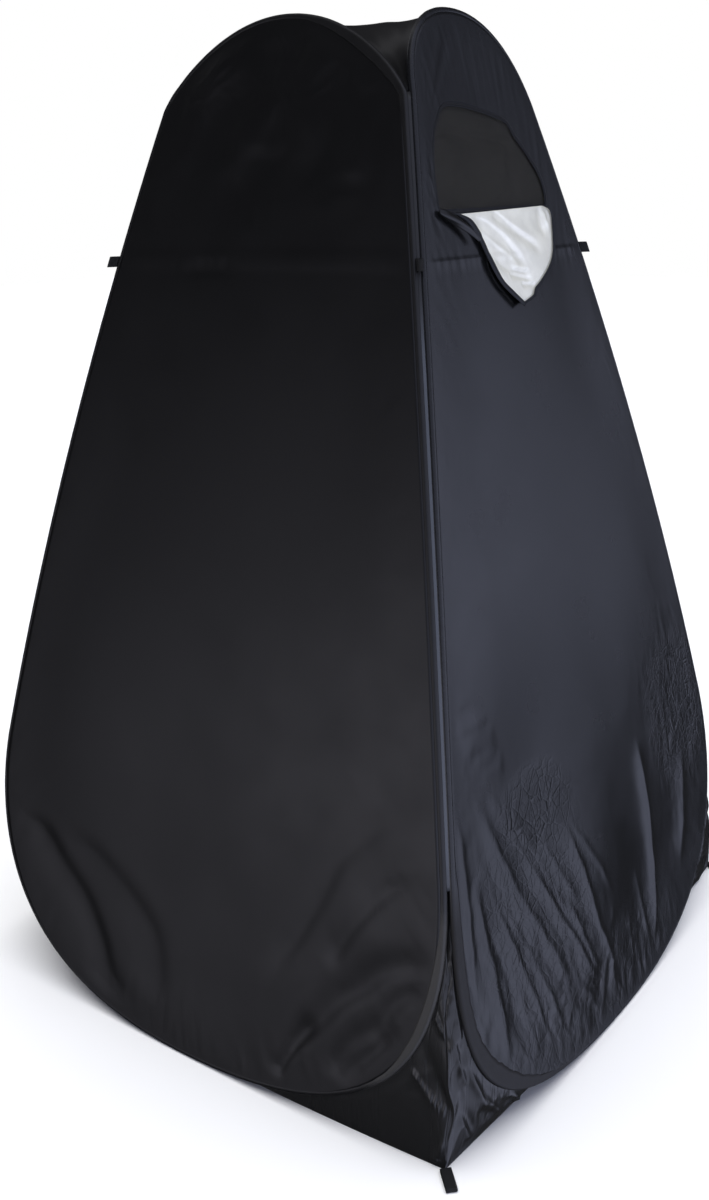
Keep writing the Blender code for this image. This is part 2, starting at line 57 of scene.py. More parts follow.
# Handles of a gusset's ridge, then of the near one's: outwards and down at its start, up at its end
RIDGE_HANDLES = ((0.0, 0.180, 0.220), (0.030, 0.160, 0.300))
TOUCH = 0.0003
STAGGER_NEAR = 0.003
STAGGER_FAR = STAGGER_NEAR + (2 * SLEEVE + TOUCH) / math.sqrt(2)
PEGGED_CORNER, TUCKED_CORNER = (0.595, 0.604), (0.455, 0.465)
PEG_SEAT, TUCKED_SEAT = 0.0018, 0.0049
SEAM_HEIGHT = 1.492
CLOTH_THICK = 0.0008

# Places where a sleeve's flat edge is wider: (s, z), reach sideways and up, extra width
WIDE_EDGES = {
    "front": (((0.552, 0.285), (0.10, 0.13), 0.0090), ((0.17, 1.82), (0.12, 0.12), 0.0110)),
    "window": (((-0.48, 0.14), (0.13, 0.13), 0.0250), ((-0.57, 0.36), (0.10, 0.17), 0.0110)),
    "back": (((0.0, 0.10), (0.70, 0.30), 0.0110),),
    "side": (((0.0, 0.10), (0.70, 0.30), 0.0110),),
}

# Window and its cover in the +X wall, door in the +Y wall
WINDOW_CENTRE = (-0.010, 1.645)
# Opening of the window, gathered a little out of its sewn shape: (s, z) from the sill's right end round
WINDOW_OUTLINE = ((0.178, 1.572), (0.184, 1.600), (0.176, 1.632), (0.146, 1.668), (0.112, 1.700),
                  (0.092, 1.724), (0.060, 1.733), (0.000, 1.743), (-0.060, 1.749), (-0.118, 1.747),
                  (-0.150, 1.722), (-0.172, 1.694), (-0.192, 1.645), (-0.202, 1.600), (-0.204, 1.572))
DOOR_SILL, DOOR_TOP, DOOR_HALF = 0.190, 1.560, 0.235
DOOR_RISE, DOOR_POWER, DOOR_CENTRE = DOOR_TOP - DOOR_SILL, 3.4, (0.0, 0.86)
SLIDER_PLACE = (DOOR_HALF, DOOR_SILL + 0.044)

# How the cloth meets the sleeves: where it starts inside a hoop's line, its height over the wall's
# middle, and how far from the hoop its folds and its broad swells grow to their full height
CLOTH_INSET, CLOTH_LIFT = 0.0020, 0.0064
HOLD_WIDTH, SWELL_WIDTH = 0.045, 0.160
# A sleeve's flat edge, how deep the roof and gussets run into a sleeve, and where they start behind two
SLEEVE_EDGE, SLEEVE_BITE, BEHIND_SLEEVES = 0.0040, 0.0008, 0.0075
# A sleeve's profile: where its bulge starts, how thick its flat edge is, and how far that edge's end dips
BULGE_START, EDGE_THICK, EDGE_DIP = -0.86 * math.pi, 0.0014, 0.0004

# A wall's sewn seam: its welt's height and half width, its puckers' height and reach; and how far the
# gathers beside a hoop reach
WELT, WELT_HALF, PUCKER, PUCKER_REACH, GATHER_REACH = 0.0011, 0.005, 0.0006, 0.02, 0.07
# Smallest distance between two points of a mesh, and the span of the cloth coordinates, in metres
WELD, UV_SPAN = 1e-6, 2.0
# Level of creased noise that leaves the walls' cloth where it is, then the gussets' and the cover's
CRUMPLE_MEAN, ROUGH_MEAN = 0.6, 0.55
# Steps of the grids
BULGE_STEPS, TAPE_STEPS, HEM_STEPS = 14, 4, 360
SLEEVE_STEPS = {"front": 900, "window": 900, "back": 620, "side": 620}
FRONT_COLUMNS, SIDE_COLUMNS = 110, 70
WINDOW_COLUMNS, CROWN_RAYS, WINDOW_RINGS, RIM_STEPS = 200, 200, 34, 480
ROOF_STEPS, ROOF_SWEEPS = 101, 586
GUSSET_GRID, NEAR_GRID, RIDGE_SHARE = (110, 44), (192, 68), 5 / 13
DOOR_RAYS, DOOR_RINGS, DOOR_GRID, DOOR_STEPS = 420, 34, (120, 52), 500
NET_RAYS, NET_RINGS, SEAM_STEPS = 200, 28, 100
FLAP_ROWS, FLAP_COLUMNS = 56, 70

# Roof: how far under the crowns its middle lies when the cloth's ways off the hoops are found, its half
# sizes as its creases see them, and how far those run from a corner, in shares of its sides
ROOF_DIP, ROOF_HALF, ROOF_REACH = 0.05, (0.36, 0.30), 0.42
# Gussets: height and sag of the hem, how much less the near one's two facets sag, how rough they are,
# how far, how high up and over what height its ridge leans, and how much other ridges waver
HEM_HEIGHT, HEM_SAG, NEAR_SAG, NEAR_ROUGH = 0.0005, 0.008, (0.016, 0.004), (0.0016, 0.014)
RIDGE_LEAN, RIDGE_LEAN_HEIGHT, RIDGE_LEAN_REACH = 0.012, 0.112, 0.036
RIDGE_WOBBLE, RIDGE_DENT = 0.006, 0.004
# Creases of the near gusset: facet, start and end as (along the ground, height), width, height
NEAR_CREASES = (
    (0, (-0.056, 0.180), (-0.020, 0.126), 0.0026, 0.0046),
    (0, (-0.030, 0.136), (0.002, 0.112), 0.0026, 0.0046),
    (0, (-0.001, 0.060), (-0.024, 0.000), 0.0045, 0.0050),
    (0, (-0.012, 0.292), (0.000, 0.255), 0.0035, 0.0045),
    (1, (0.010, 0.260), (0.035, 0.150), 0.0060, 0.0060),
    (1, (0.040, 0.190), (0.075, 0.080), 0.0080, 0.0070),
    (1, (0.060, 0.130), (0.120, 0.030), 0.0080, 0.0060),
    (1, (0.022, 0.100), (0.048, 0.020), 0.0060, 0.0050),
    (1, (0.120, 0.120), (0.160, 0.020), 0.0070, 0.0060),
)
# Net: its size over the opening's, its thickness and its depth behind the wall; thickness of a tape
NET_MARGIN, NET_THICK, NET_DEPTH, TAPE_THICK = 1.035, 0.0003, 0.0045, 0.0012
# Window's hem and coil: how far they lie under the wall's cloth, and half the hem's width
HEM_DEPTH, COIL_DEPTH, HEM_HALF = 0.0018, 0.0006, 0.0045
# Corner seams: half width, thickness, how far outside the hoops' middle lines they lie, lowest and
# highest point
SEAM_HALF, SEAM_THICK, SEAM_SEAT = 0.0032, 0.0016, 0.0042
SEAM_LOW, SEAM_HIGH = LOW_SPLIT - 0.015, HIGH_SPLIT + 0.005
# Strap loops: reach, opening and distance from what carries them; their webbing's width and thickness
GUY_HEIGHT, GUY_REACH, GUY_OPENING, GUY_SEAT = 1.492, 0.022, 0.0076, 0.0047
PEG_REACH, PEG_OPENING, PEG_CLEARANCE = 0.052, 0.0060, 0.0002
WEBBING, WEBBING_THICK = 0.020, 0.0014
# Zip of the door: half the tape's width, and how far its tape, coil and slider lie over the cloth
DOOR_TAPE_HALF, TAPE_RISE, COIL_RISE, SLIDER_RISE = 0.0125, 0.0008, 0.0022, 0.0005
# Slider: half width of its body and what its shoulders add, its length, its middle's height, half its
# thickness; its bridge's half length, feet's height, rise and wire; its pull's half width, middle, half
# length, height and wire
BODY_HALF, BODY_SHOULDER, BODY_LENGTH, BODY_OUT, BODY_THICK = 0.0034, 0.0017, 0.021, 0.0030, 0.0029
BRIDGE_HALF, BRIDGE_FOOT, BRIDGE_RISE, BRIDGE_WIRE = 0.0065, 0.0052, 0.0036, 0.0009
PULL_HALF, PULL_MIDDLE, PULL_REACH, PULL_OUT, PULL_WIRE = 0.0032, -0.0095, 0.0130, 0.0072, 0.0007
# Zip: distance between teeth, half sizes of one, and how far each row lies from the middle
ZIP_PITCH, TOOTH, TOOTH_OFFSET = 0.0022, (0.0017, 0.0007, 0.0006), 0.0009


def bezier(a, b, c, d, count):
    """Cubic curve from a to d with handles b and c: the weighted mean of the four at each step."""
    t = np.linspace(0, 1, count)[:, None]
    return (1 - t) ** 3 * a + 3 * (1 - t) ** 2 * t * b + 3 * (1 - t) * t * t * c + t**3 * d


def unit(vectors):
    """Vectors divided by their own lengths."""
    return vectors / np.linalg.norm(vectors, axis=-1, keepdims=True)


def headings(path, closed=False):
    """Unit vectors along a path at each of its points, from the neighbours on both sides."""
    return unit(np.roll(path, -1, 0) - np.roll(path, 1, 0) if closed else np.gradient(path, axis=0))


def close(rows):
    """Points or rows of points with the first one again at the end."""
    return np.concatenate([rows, rows[:1]])


def round_trip(right, left):
    """Line down the right half of an outline and up its left one."""
    return np.concatenate([right, left[-2:0:-1]])


def rounded(x, power):
    """x with its size raised to a power and its sign kept; it makes a circle's parts a superellipse's."""
    return np.sign(x) * np.abs(x) ** power


def ramp(x, low, high):
    """Smooth step from 0 at low to 1 at high: 3 t squared minus 2 t cubed."""
    t = np.clip((x - low) / (high - low), 0, 1)
    return t * t * (3 - 2 * t)


def half_width(z, widths, bulge):
    """Half width of the tent at height z: a shallow parabola between the splits, straight below."""
    high, low, ground = widths
    t = (z - LOW_SPLIT) / (HIGH_SPLIT - LOW_SPLIT)
    upper = low + (high - low) * t + 4 * bulge * t * (1 - t)
    lower = low + (ground - low) * (LOW_SPLIT - z) / LOW_SPLIT
    return np.where(z > LOW_SPLIT, upper, lower)


class Wall:
    """One side of the tent: its hoop's outline and how it lies in space.

    A point on it is (s, z): s sideways, to the right when seen from outside, and z the height.
    """

    # Steps of the outline's parts: over half the crown, down a side, down half the foot
    TOP, SIDE, LOW = 60, 90, 100

    def __init__(self, name, turn, along_x, top, sway):
        self.name, self.turn, self.top, self.sway = name, turn, top, sway
        by_x, by_y = (HALF_X, CORNER_BULGE[0]), (HALF_Y, CORNER_BULGE[1])
        self.widths, self.bulge = by_x if along_x else by_y
        self.depths, self.depth_bulge = by_y if along_x else by_x
        self.arc = FRONT_ARC if along_x else SIDE_ARC
        self.right, self.left = self.outline(1), self.outline(-1)

    def depth(self, z):
        """How far the wall's middle surface stands from the tent's axis at height z."""
        return half_width(z, self.depths, self.depth_bulge) - STAGGER_NEAR

    def place(self, s, z, out=0.0):
        """World points of (s, z), standing out by out from the wall's middle surface."""
        s, z = np.broadcast_arrays(np.asarray(s, float), np.asarray(z, float))
        x, y = s, -(self.depth(z) + out)
        for _ in range(self.turn):
            x, y = -y, x
        return np.stack([x, y, z], -1)

    def outline(self, side):
        """(s, z) of the hoop's middle line from its top to the ground, down one side of the wall.

        A cubic over the crown, the corner line between the splits, and a cubic down to the ground;
        the crown is then moved sideways by the sway, in proportion to its height over the split.
        """
        h_split, h_top, l_split, l_ground = self.arc
        near_side, near_split, near_ground = NEAR_FEET.get(self.name, (0, 0.0, 0.0))
        if side == near_side:
            l_split, l_ground = near_split, near_ground
        z = np.linspace(HIGH_SPLIT, LOW_SPLIT, self.SIDE + 1)
        line = np.stack([half_width(z, self.widths, self.bulge) - STAGGER_FAR, z], 1)
        high = line[0] + unit(line[0] - line[1]) * h_split
        low = line[-1] + unit(line[-1] - line[-2]) * l_split
        top, ground = np.array([0, self.top - SLEEVE]), np.array([0, SLEEVE])
        crown = bezier(top, top + [h_top, 0], high, line[0], self.TOP + 1)
        foot = bezier(line[-1], low, ground + [l_ground, 0], ground, self.LOW + 1)
        half = np.concatenate([crown[:-1], line, foot[1:]]) * [side, 1]
        rise = np.clip((half[:, 1] - HIGH_SPLIT) / (self.top - HIGH_SPLIT), 0, 1)
        half[:, 0] += self.sway * rise
        return half

    def inset(self, distance):
        """Right and left halves of the outline, moved inwards along its normal."""
        loop = round_trip(self.right, self.left)
        way = headings(loop, True)
        loop = loop + np.stack([way[:, 1], -way[:, 0]], 1) * distance
        count = len(self.right)
        return loop[:count], np.concatenate([loop[:1], loop[: count - 2 : -1]])

    def room(self, s, z):
        """Rough distance from (s, z) to the hoop's middle line, inside the hoop."""
        right = np.interp(z, self.right[::-1, 1], self.right[::-1, 0])
        left = np.interp(z, self.left[::-1, 1], self.left[::-1, 0])
        beside = np.minimum(right - s, s - left)
        crown, foot = self.TOP, self.LOW
        top = np.concatenate([self.left[crown:0:-1], self.right[: crown + 1]])
        low = np.concatenate([self.left[-foot:], self.right[-2 : -foot - 1 : -1]])
        above = np.interp(s, top[:, 0], top[:, 1]) - z
        below = z - np.interp(s, low[:, 0], low[:, 1])
        ends = np.minimum(above, below)
        return np.maximum(beside * ends / np.hypot(beside, ends).clip(1e-6), 0)

    def slack(self, s, z):
        """0 at the hoop to 1 in the cloth's free middle: how much of its broad swells it has."""
        return ramp(self.room(s, z), 0.0, SWELL_WIDTH)


WALLS = {
    "front": Wall("front", 0, True, FRONT_TOP, -CROWN_SWAY),
    "window": Wall("window", 1, False, WINDOW_TOP, -CROWN_SWAY),
    "back": Wall("back", 2, True, FRONT_TOP, CROWN_SWAY),
    "side": Wall("side", 3, False, SIDE_TOP, SIDE_SWAY),
}
# Each corner: its two walls, anticlockwise from above, its signs along X and Y, its place on the ground,
# and where its peg loop starts: that far outwards, or inwards where it is below zero
CORNERS = {
    "front_right": ("front", "window", (1, -1), PEGGED_CORNER, PEG_SEAT),
    "back_right": ("window", "back", (1, 1), PEGGED_CORNER, PEG_SEAT),
    "back_left": ("back", "side", (-1, 1), PEGGED_CORNER, PEG_SEAT),
    "front_left": ("side", "front", (-1, -1), TUCKED_CORNER, -TUCKED_SEAT),
}


def noise(x, y, seed):
    """Gradient noise, about -1 to 1: slopes of hashed direction at whole (x, y), blended smoothly."""
    x, y = np.broadcast_arrays(x, y)
    ix, iy = np.floor(x), np.floor(y)
    fx, fy = x - ix, y - iy

    def corner(dx, dy):
        turn = np.sin((ix + dx) * 127.1 + (iy + dy) * 311.7 + seed * 74.7) * 43758.5453
        angle = 2 * math.pi * (turn - np.floor(turn))
        return np.cos(angle) * (fx - dx) + np.sin(angle) * (fy - dy)

    wx, wy = fx**3 * (fx * (6 * fx - 15) + 10), fy**3 * (fy * (6 * fy - 15) + 10)
    low = corner(0, 0) * (1 - wx) + corner(1, 0) * wx
    high = corner(0, 1) * (1 - wx) + corner(1, 1) * wx
    return (low * (1 - wy) + high * wy) * 1.5


def crumple(x, y, seed, layers=3):
    """Creased noise, 0 to about 1: one minus the size of warped noise, finer layers added by halves."""
    wx = x + 0.6 * noise(x * 0.7, y * 0.7, seed + 11)
    wy = y + 0.6 * noise(x * 0.7, y * 0.7, seed + 23)
    total, share = 0.0, 1.0
    for layer in range(layers):
        total = total + share * (1 - np.abs(noise(wx * 2**layer, wy * 2**layer, seed + layer)))
        share /= 2
    return total / (2 - 2 * share)


def fold(s, z, start, end, width, height, bow=0.0, crisp=1.5):
    """A ridge from start to end, leaned to one side.

    Height times exp(-|across / width| to the power crisp). It fades in over the first quarter of its
    length and out over the last, bow moves its middle sideways, and its near side is the steeper.
    """
    start, end = np.array(start), np.array(end)
    length = np.linalg.norm(end - start)
    along = ((s - start[0]) * (end - start)[0] + (z - start[1]) * (end - start)[1]) / length**2
    across = ((s - start[0]) * (end - start)[1] - (z - start[1]) * (end - start)[0]) / length
    across = (across - bow * 4 * along * (1 - along)) / width
    across = np.where(across > 0, across * 0.7, across * 1.5)
    fade = ramp(along, 0, 0.25) * ramp(1 - along, 0, 0.25)
    return height * fade * np.exp(-np.abs(across) ** crisp)


def crease(s, z, points, width, height):
    """A fold along a curve through given points, read by the nearest of its samples.

    Height times exp(-(across / width) squared), across being the distance to the curve's tangent there;
    gentler on the curve's right than on its left, and fading out at both ends.
    """
    path = smooth_path(points, 60)
    way = headings(path)
    away_s, away_z = s[..., None] - path[:, 0], z[..., None] - path[:, 1]
    nearest = np.argmin(away_s**2 + away_z**2, axis=-1)
    way_s, way_z = way[nearest, 0], way[nearest, 1]
    away_s, away_z = s - path[nearest, 0], z - path[nearest, 1]
    across = (away_s * way_z - away_z * way_s) / width
    beyond = np.maximum(np.abs(away_s * way_s + away_z * way_z) - 0.006, 0) / width
    along = nearest / (len(path) - 1)
    fade = ramp(along, 0, 0.22) * ramp(1 - along, 0, 0.22)
    across = np.where(across > 0, across * 0.6, across * 1.5)
    return height * fade * np.exp(-(across**2) - beyond**2)


def blob(s, z, centre, size):
    """1 at centre, falling off as a bell over size (across, up)."""
    return np.exp(-(((s - centre[0]) / size[0]) ** 2) - ((z - centre[1]) / size[1]) ** 2)


def patch(s, z, size, centre, reach, counts, seed):
    """Crumples round a centre: size times a bell over reach times creased noise about its mean."""
    return size * blob(s, z, centre, reach) * (crumple(s * counts[0], z * counts[1], seed) - CRUMPLE_MEAN)


def gathers(s, z, wall, seed, low=0.0009, high=0.0004):
    """Small puckers square to the hoop, strongest right beside the sleeve and lower down."""
    reach = wall.room(s, z)
    angle = np.arctan2(z - 0.9, s * 1.5)
    size = low + (high - low) * ramp(z, 0.4, 1.2)
    waves = noise(angle * 38, reach * 9, seed) + 0.5 * noise(angle * 90, reach * 14, seed + 5)
    return size * waves * np.exp(-reach / GATHER_REACH)


def seam(s, z, height, seed):
    """A sewn seam across a wall: a narrow welt with shallow puckers above and below it."""
    away = z - height - 0.0015 * noise(s * 3, z * 0, seed)
    welt = WELT * np.exp(-((away / WELT_HALF) ** 4))
    pucker = PUCKER * noise(s * 55, z * 6, seed + 3) * np.exp(-np.abs(away) / PUCKER_REACH)
    return welt + pucker


# Sources of the window wall's fan of folds and of its crown's ripples, as (s, z)
FAN_SOURCE, CROWN_SOURCE = (-0.52, 0.80), (-0.19, 1.70)
# Height, centre and reach of the fan's crumples, of the crown's ripples and of the swell under the fan
FAN_CRUMPLE, FAN_PLACE = 0.0062, ((-0.32, 0.29), (0.18, 0.18))
CROWN_RIPPLE, CROWN_PLACE = 0.0006, ((-0.06, 1.81), (0.14, 0.08))
SWELL, SWELL_PLACE = 0.018, ((-0.12, 0.32), (0.22, 0.28))
# The fan's folds: start and end as (s, z), width, height, bow; a factor for all heights, and crispness
FAN_HEIGHT, FAN_CRISP = 0.85, 1.25
WINDOW_FOLDS = (
    ((-0.441, 0.640), (-0.215, 0.140), 0.014, 0.0055, 0.012),
    ((-0.495, 0.650), (-0.520, 0.300), 0.011, 0.0040, -0.006),
    ((-0.401, 0.612), (-0.270, 0.480), 0.008, 0.0028, 0.004),
    ((-0.320, 0.480), (-0.125, 0.125), 0.012, 0.0050, 0.006),
    ((-0.172, 0.490), (-0.040, 0.050), 0.009, 0.0058, 0.004),
    ((-0.156, 0.475), (-0.030, 0.265), 0.006, 0.0026, -0.004),
    ((-0.420, 0.420), (-0.318, 0.100), 0.010, 0.0042, 0.004),
    ((-0.475, 0.510), (-0.455, 0.140), 0.012, 0.0042, -0.005),
    ((-0.210, 0.350), (-0.115, 0.140), 0.009, 0.0036, 0.003),
    ((-0.360, 0.330), (-0.255, 0.075), 0.010, 0.0034, 0.003),
    ((-0.260, 0.480), (-0.170, 0.330), 0.007, 0.0024, -0.003),
    ((0.186, 0.510), (0.140, 0.045), 0.017, 0.0110, -0.012),
    ((0.405, 0.410), (0.318, 0.150), 0.020, 0.0066, 0.005),
    ((0.088, 0.270), (0.122, 0.060), 0.007, 0.0028, 0.002),
    ((0.026, 0.195), (0.052, 0.055), 0.006, 0.0022, 0.001),
)
# Crumpled patches: height, centre and reach as (s, z), crumples a metre sideways and up, seed
WINDOW_PATCHES = (
    (0.0050, (-0.12, 0.12), (0.30, 0.12), (17, 9), 41),
    (0.0034, (0.38, 0.48), (0.14, 0.20), (22, 8), 47),
    (0.0022, (-0.25, 0.54), (0.10, 0.05), (26, 26), 52),
    (0.0040, (-0.235, 1.640), (0.030, 0.080), (34, 16), 57),
)
# Short folds above the fan, beside the hoop: start and end as (s, z), width, height
SHORT_FOLDS = (
    ((-0.462, 0.755), (-0.372, 0.760), 0.0050, 0.0016),
    ((-0.458, 0.735), (-0.352, 0.746), 0.0055, 0.0020),
    ((-0.450, 0.713), (-0.332, 0.718), 0.0060, 0.0022),
    ((-0.425, 0.682), (-0.335, 0.690), 0.0050, 0.0014),
    ((-0.410, 0.652), (-0.325, 0.659), 0.0050, 0.0016),
)


def window_folds(s, z):
    """Height of the window wall's cloth: a fan of folds from the low split, crumples and a seam.

    Low down the places are first warped by noise, so that no fold runs straight. The fan's crumples lie
    along rays from its source, up at the left edge.
    """
    wall = WALLS["window"]
    total = gathers(s, z, wall, 3) + seam(s, z, SEAM_HEIGHT, 4)
    for start, end, width, height in SHORT_FOLDS:
        total = total + fold(s, z, start, end, width, height, 0.002, FAN_CRISP)
    low = 1 - ramp(z, 0.62, 0.80)
    warp_s = 0.009 * noise(s * 9, z * 6, 21) + 0.0030 * noise(s * 31, z * 22, 22)
    warp_z = 0.010 * noise(s * 8 + 5, z * 8, 23)
    s, z = s + low * warp_s, z + low * warp_z
    for start, end, width, height, bow in WINDOW_FOLDS:
        total = total + fold(s, z, start, end, width, height * FAN_HEIGHT, bow, FAN_CRISP)
    ray = np.arctan2(z - FAN_SOURCE[1], s - FAN_SOURCE[0])
    away = np.hypot(z - FAN_SOURCE[1], s - FAN_SOURCE[0])
    streaks = crumple(ray * 9, away * 5, 31, 3) - CRUMPLE_MEAN
    streaks = streaks + 0.5 * (crumple(ray * 17, away * 11, 37, 2) - CRUMPLE_MEAN)
    total = total + FAN_CRUMPLE * blob(s, z, *FAN_PLACE) * streaks
    for row in WINDOW_PATCHES:
        total = total + patch(s, z, *row)
    crown_ray = np.arctan2(z - CROWN_SOURCE[1], s - CROWN_SOURCE[0])
    total = total + CROWN_RIPPLE * blob(s, z, *CROWN_PLACE) * noise(crown_ray * 7, z * 3, 58)
    swell = SWELL * blob(s, z, *SWELL_PLACE) + 0.0040 * noise(s * 2.6 + 3, z * 1.9, 8)
    return total + swell * wall.slack(s, z)


# Creases of the plain front wall, gentle on the right of their way: (s, z) along each, width, height
FRONT_CREASES = (
    (((-0.525, 0.350), (-0.435, 0.338), (-0.362, 0.280), (-0.290, 0.225), (-0.237, 0.152), (-0.208, 0.095),
      (-0.145, 0.058)), 0.030, -0.0030),
    (((-0.388, 0.350), (-0.278, 0.330), (-0.175, 0.280), (-0.093, 0.215), (-0.075, 0.135), (-0.093, 0.065)),
     0.034, -0.0017),
    (((0.540, 0.640), (0.422, 0.575), (0.355, 0.503), (0.300, 0.400), (0.255, 0.307), (0.200, 0.210)),
     0.018, -0.0021),
    (((0.520, 0.520), (0.425, 0.438), (0.370, 0.367), (0.338, 0.292)), 0.013, -0.0024),
    (((0.560, 0.400), (0.485, 0.343), (0.392, 0.268), (0.323, 0.185), (0.260, 0.080)), 0.020, -0.0034),
    (((0.545, 0.350), (0.483, 0.268), (0.402, 0.170), (0.358, 0.090)), 0.014, -0.0026),
    (((0.500, 0.250), (0.430, 0.150), (0.390, 0.080)), 0.013, -0.0030),
    (((0.325, 0.200), (0.275, 0.110), (0.238, 0.045)), 0.013, -0.0026),
    (((0.160, 1.634), (0.200, 1.622), (0.245, 1.616)), 0.006, -0.0018),
    (((0.100, 1.600), (0.150, 1.618), (0.190, 1.640)), 0.006, -0.0010),
    (((-0.170, 1.484), (-0.100, 1.489), (-0.030, 1.494)), 0.007, -0.0014),
    (((-0.060, 1.690), (0.010, 1.672), (0.060, 1.680)), 0.010, -0.0014),
    (((-0.100, 1.660), (-0.050, 1.610), (-0.010, 1.560)), 0.012, -0.0014),
)
# Height, centre and reach of its small bulge beside them, and the heights where its crown's mottling grows
FRONT_BULGE, FRONT_PLACE = 0.0030, ((0.42, 0.39), (0.07, 0.07))
CROWN_START, CROWN_FULL = 1.52, 1.75


def front_folds(s, z):
    """Height of the front wall's cloth: taut, with long soft creases low down and a mottled crown."""
    total = gathers(s, z, WALLS["front"], 13, 0.0006) + seam(s, z, SEAM_HEIGHT + 0.004, 14)
    warp = 0.006 * noise(s * 12, z * 9, 25)
    for points, width, height in FRONT_CREASES:
        total = total + crease(s + warp, z - warp, points, width, height)
    crown = ramp(z, CROWN_START, CROWN_FULL)
    total = total + 0.0050 * crown * noise(s * 9, z * 10, 61) + 0.0026 * crown * crumple(s * 14, z * 16, 66)
    total = total + FRONT_BULGE * blob(s, z, *FRONT_PLACE)
    return total + WALLS["front"].slack(s, z) * 0.0045 * noise(s * 2.2 + 1, z * 1.6 + 2, 9)


def hidden_folds(wall, seed):
    """Folds of a wall that the photograph doesn't show: the same kinds, at other places."""
    rng = np.random.default_rng(seed)
    folds = []
    for side in (-1, 1):
        for start_s, end_s in zip(np.linspace(0.50, 0.30, 5), np.linspace(0.46, 0.12, 5)):
            start = (side * (start_s + rng.uniform(-0.02, 0.02)), rng.uniform(0.42, 0.62))
            end = (side * (end_s + rng.uniform(-0.02, 0.02)), rng.uniform(0.07, 0.14))
            folds.append((start, end, rng.uniform(0.010, 0.022), rng.uniform(0.0025, 0.0050)))

    def height(s, z):
        total = gathers(s, z, wall, seed + 1) + seam(s, z, SEAM_HEIGHT, seed + 2)
        for start, end, width, high in folds:
            total = total + fold(s, z, start, end, width, high, 0.006, 1.7)
        for side in (-1, 1):
            place = (side * 0.33, 0.34)
            total = total + patch(s, z, 0.0030, place, (0.20, 0.24), (12, 6), seed + 7 + side)
        return total + wall.slack(s, z) * 0.0040 * noise(s * 2.4, z * 1.8, seed + 9)

    return height


def grid(rows, columns, first=0):
    """Faces of a grid numbered row by row: down each row's left point, across, up and back."""
    at = first + np.arange(rows * columns).reshape(rows, columns)
    return np.stack([at[:-1, :-1], at[1:, :-1], at[1:, 1:], at[:-1, 1:]], -1).reshape(-1, 4)


def tube(rows, first=0):
    """Faces of rows of points that each run round a closed profile, turned outwards."""
    return grid(*rows.shape[:2], first)[:, ::-1]


def make_mesh(name, points, faces, uv, *materials):
    """A mesh object from arrays: points that coincide are welded, and each face corner keeps its uv."""
    points = np.asarray(points, float).reshape(-1, 3)
    uv = np.asarray(uv, float).reshape(-1, 2)
    _, first, index = np.unique(np.round(points / WELD), axis=0, return_index=True, return_inverse=True)
    corners = index.reshape(-1)[faces]
    keep = corners != np.roll(corners, 1, axis=1)
    keep &= (keep.sum(1) > 2)[:, None]
    sizes = keep.sum(1)
    sizes = sizes[sizes > 0]
    mesh = bpy.data.meshes.new(name)
    mesh.vertices.add(len(first))
    mesh.vertices.foreach_set("co", points[first].ravel())
    mesh.loops.add(int(sizes.sum()))
    mesh.loops.foreach_set("vertex_index", corners[keep])
    mesh.polygons.add(len(sizes))
    mesh.polygons.foreach_set("loop_start", np.cumsum(sizes) - sizes)
    mesh.polygons.foreach_set("use_smooth", np.ones(len(sizes), bool))
    mesh.update(calc_edges=True)
    layer = mesh.uv_layers.new(name="cloth")
    layer.uv.foreach_set("vector", uv[faces][keep].ravel())
    mesh.validate()
    piece = bpy.data.objects.new(name, mesh)
    bpy.context.scene.collection.objects.link(piece)
    for material in materials:
        mesh.materials.append(material)
    return piece


def dress(piece, slot_name, *nodes):
    """The piece rides on the tent's one body and stands for CAD nodes, which it hides."""
    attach(piece, "root")
    if nodes:
        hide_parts(*nodes)
    return piece


def cloth_piece(name, points, faces, uv, slot_name, node, materials, thickness=CLOTH_THICK):
    """A sheet of cloth thickened inwards; of two materials, the second is its inside's."""
    piece = make_mesh(name, points, faces, uv, *materials)
    solidify = piece.modifiers.new("thickness", "SOLIDIFY")
    solidify.thickness = thickness
    solidify.offset = -1
    solidify.use_even_offset = False
    solidify.material_offset = len(materials) - 1
    return dress(piece, slot_name, node)


def tape_uv(rows, width=0.1):
    """Coordinates of rows of points: from 0 to width round the profile, and from 0 to 1 along the path."""
    across = np.linspace(0, 1, rows.shape[1]) * width
    return np.stack(np.broadcast_arrays(across, np.linspace(0, 1, len(rows))[:, None]), -1)


def tube_piece(name, rows, material, slot_name, *nodes):
    """A piece from rows of points that each run round a closed profile."""
    return dress(make_mesh(name, rows, tube(rows), tape_uv(rows), material), slot_name, *nodes)


def between(left, right, columns):
    """Grid of straight rows, each from a point of one line to the same point of the other."""
    share = np.linspace(0, 1, columns)[:, None]
    return left[:, None] * (1 - share) + right[:, None] * share


def cloth_uv(s, z):
    """Cloth coordinates in metres, brought between 0 and 1."""
    return np.stack([(s + 1) / UV_SPAN, z / UV_SPAN], -1)


def resample(path, count):
    """A polyline read again at count points evenly along its length."""
    steps = np.linalg.norm(np.diff(path, axis=0), axis=1)
    along = np.concatenate([[0], np.cumsum(steps)])
    at = np.linspace(0, along[-1], count)
    return np.stack([np.interp(at, along, path[:, k]) for k in range(path.shape[1])], 1)


def even_loop(line, count):
    """A closed line read again at count points evenly round it."""
    return resample(close(line), count + 1)[:-1]


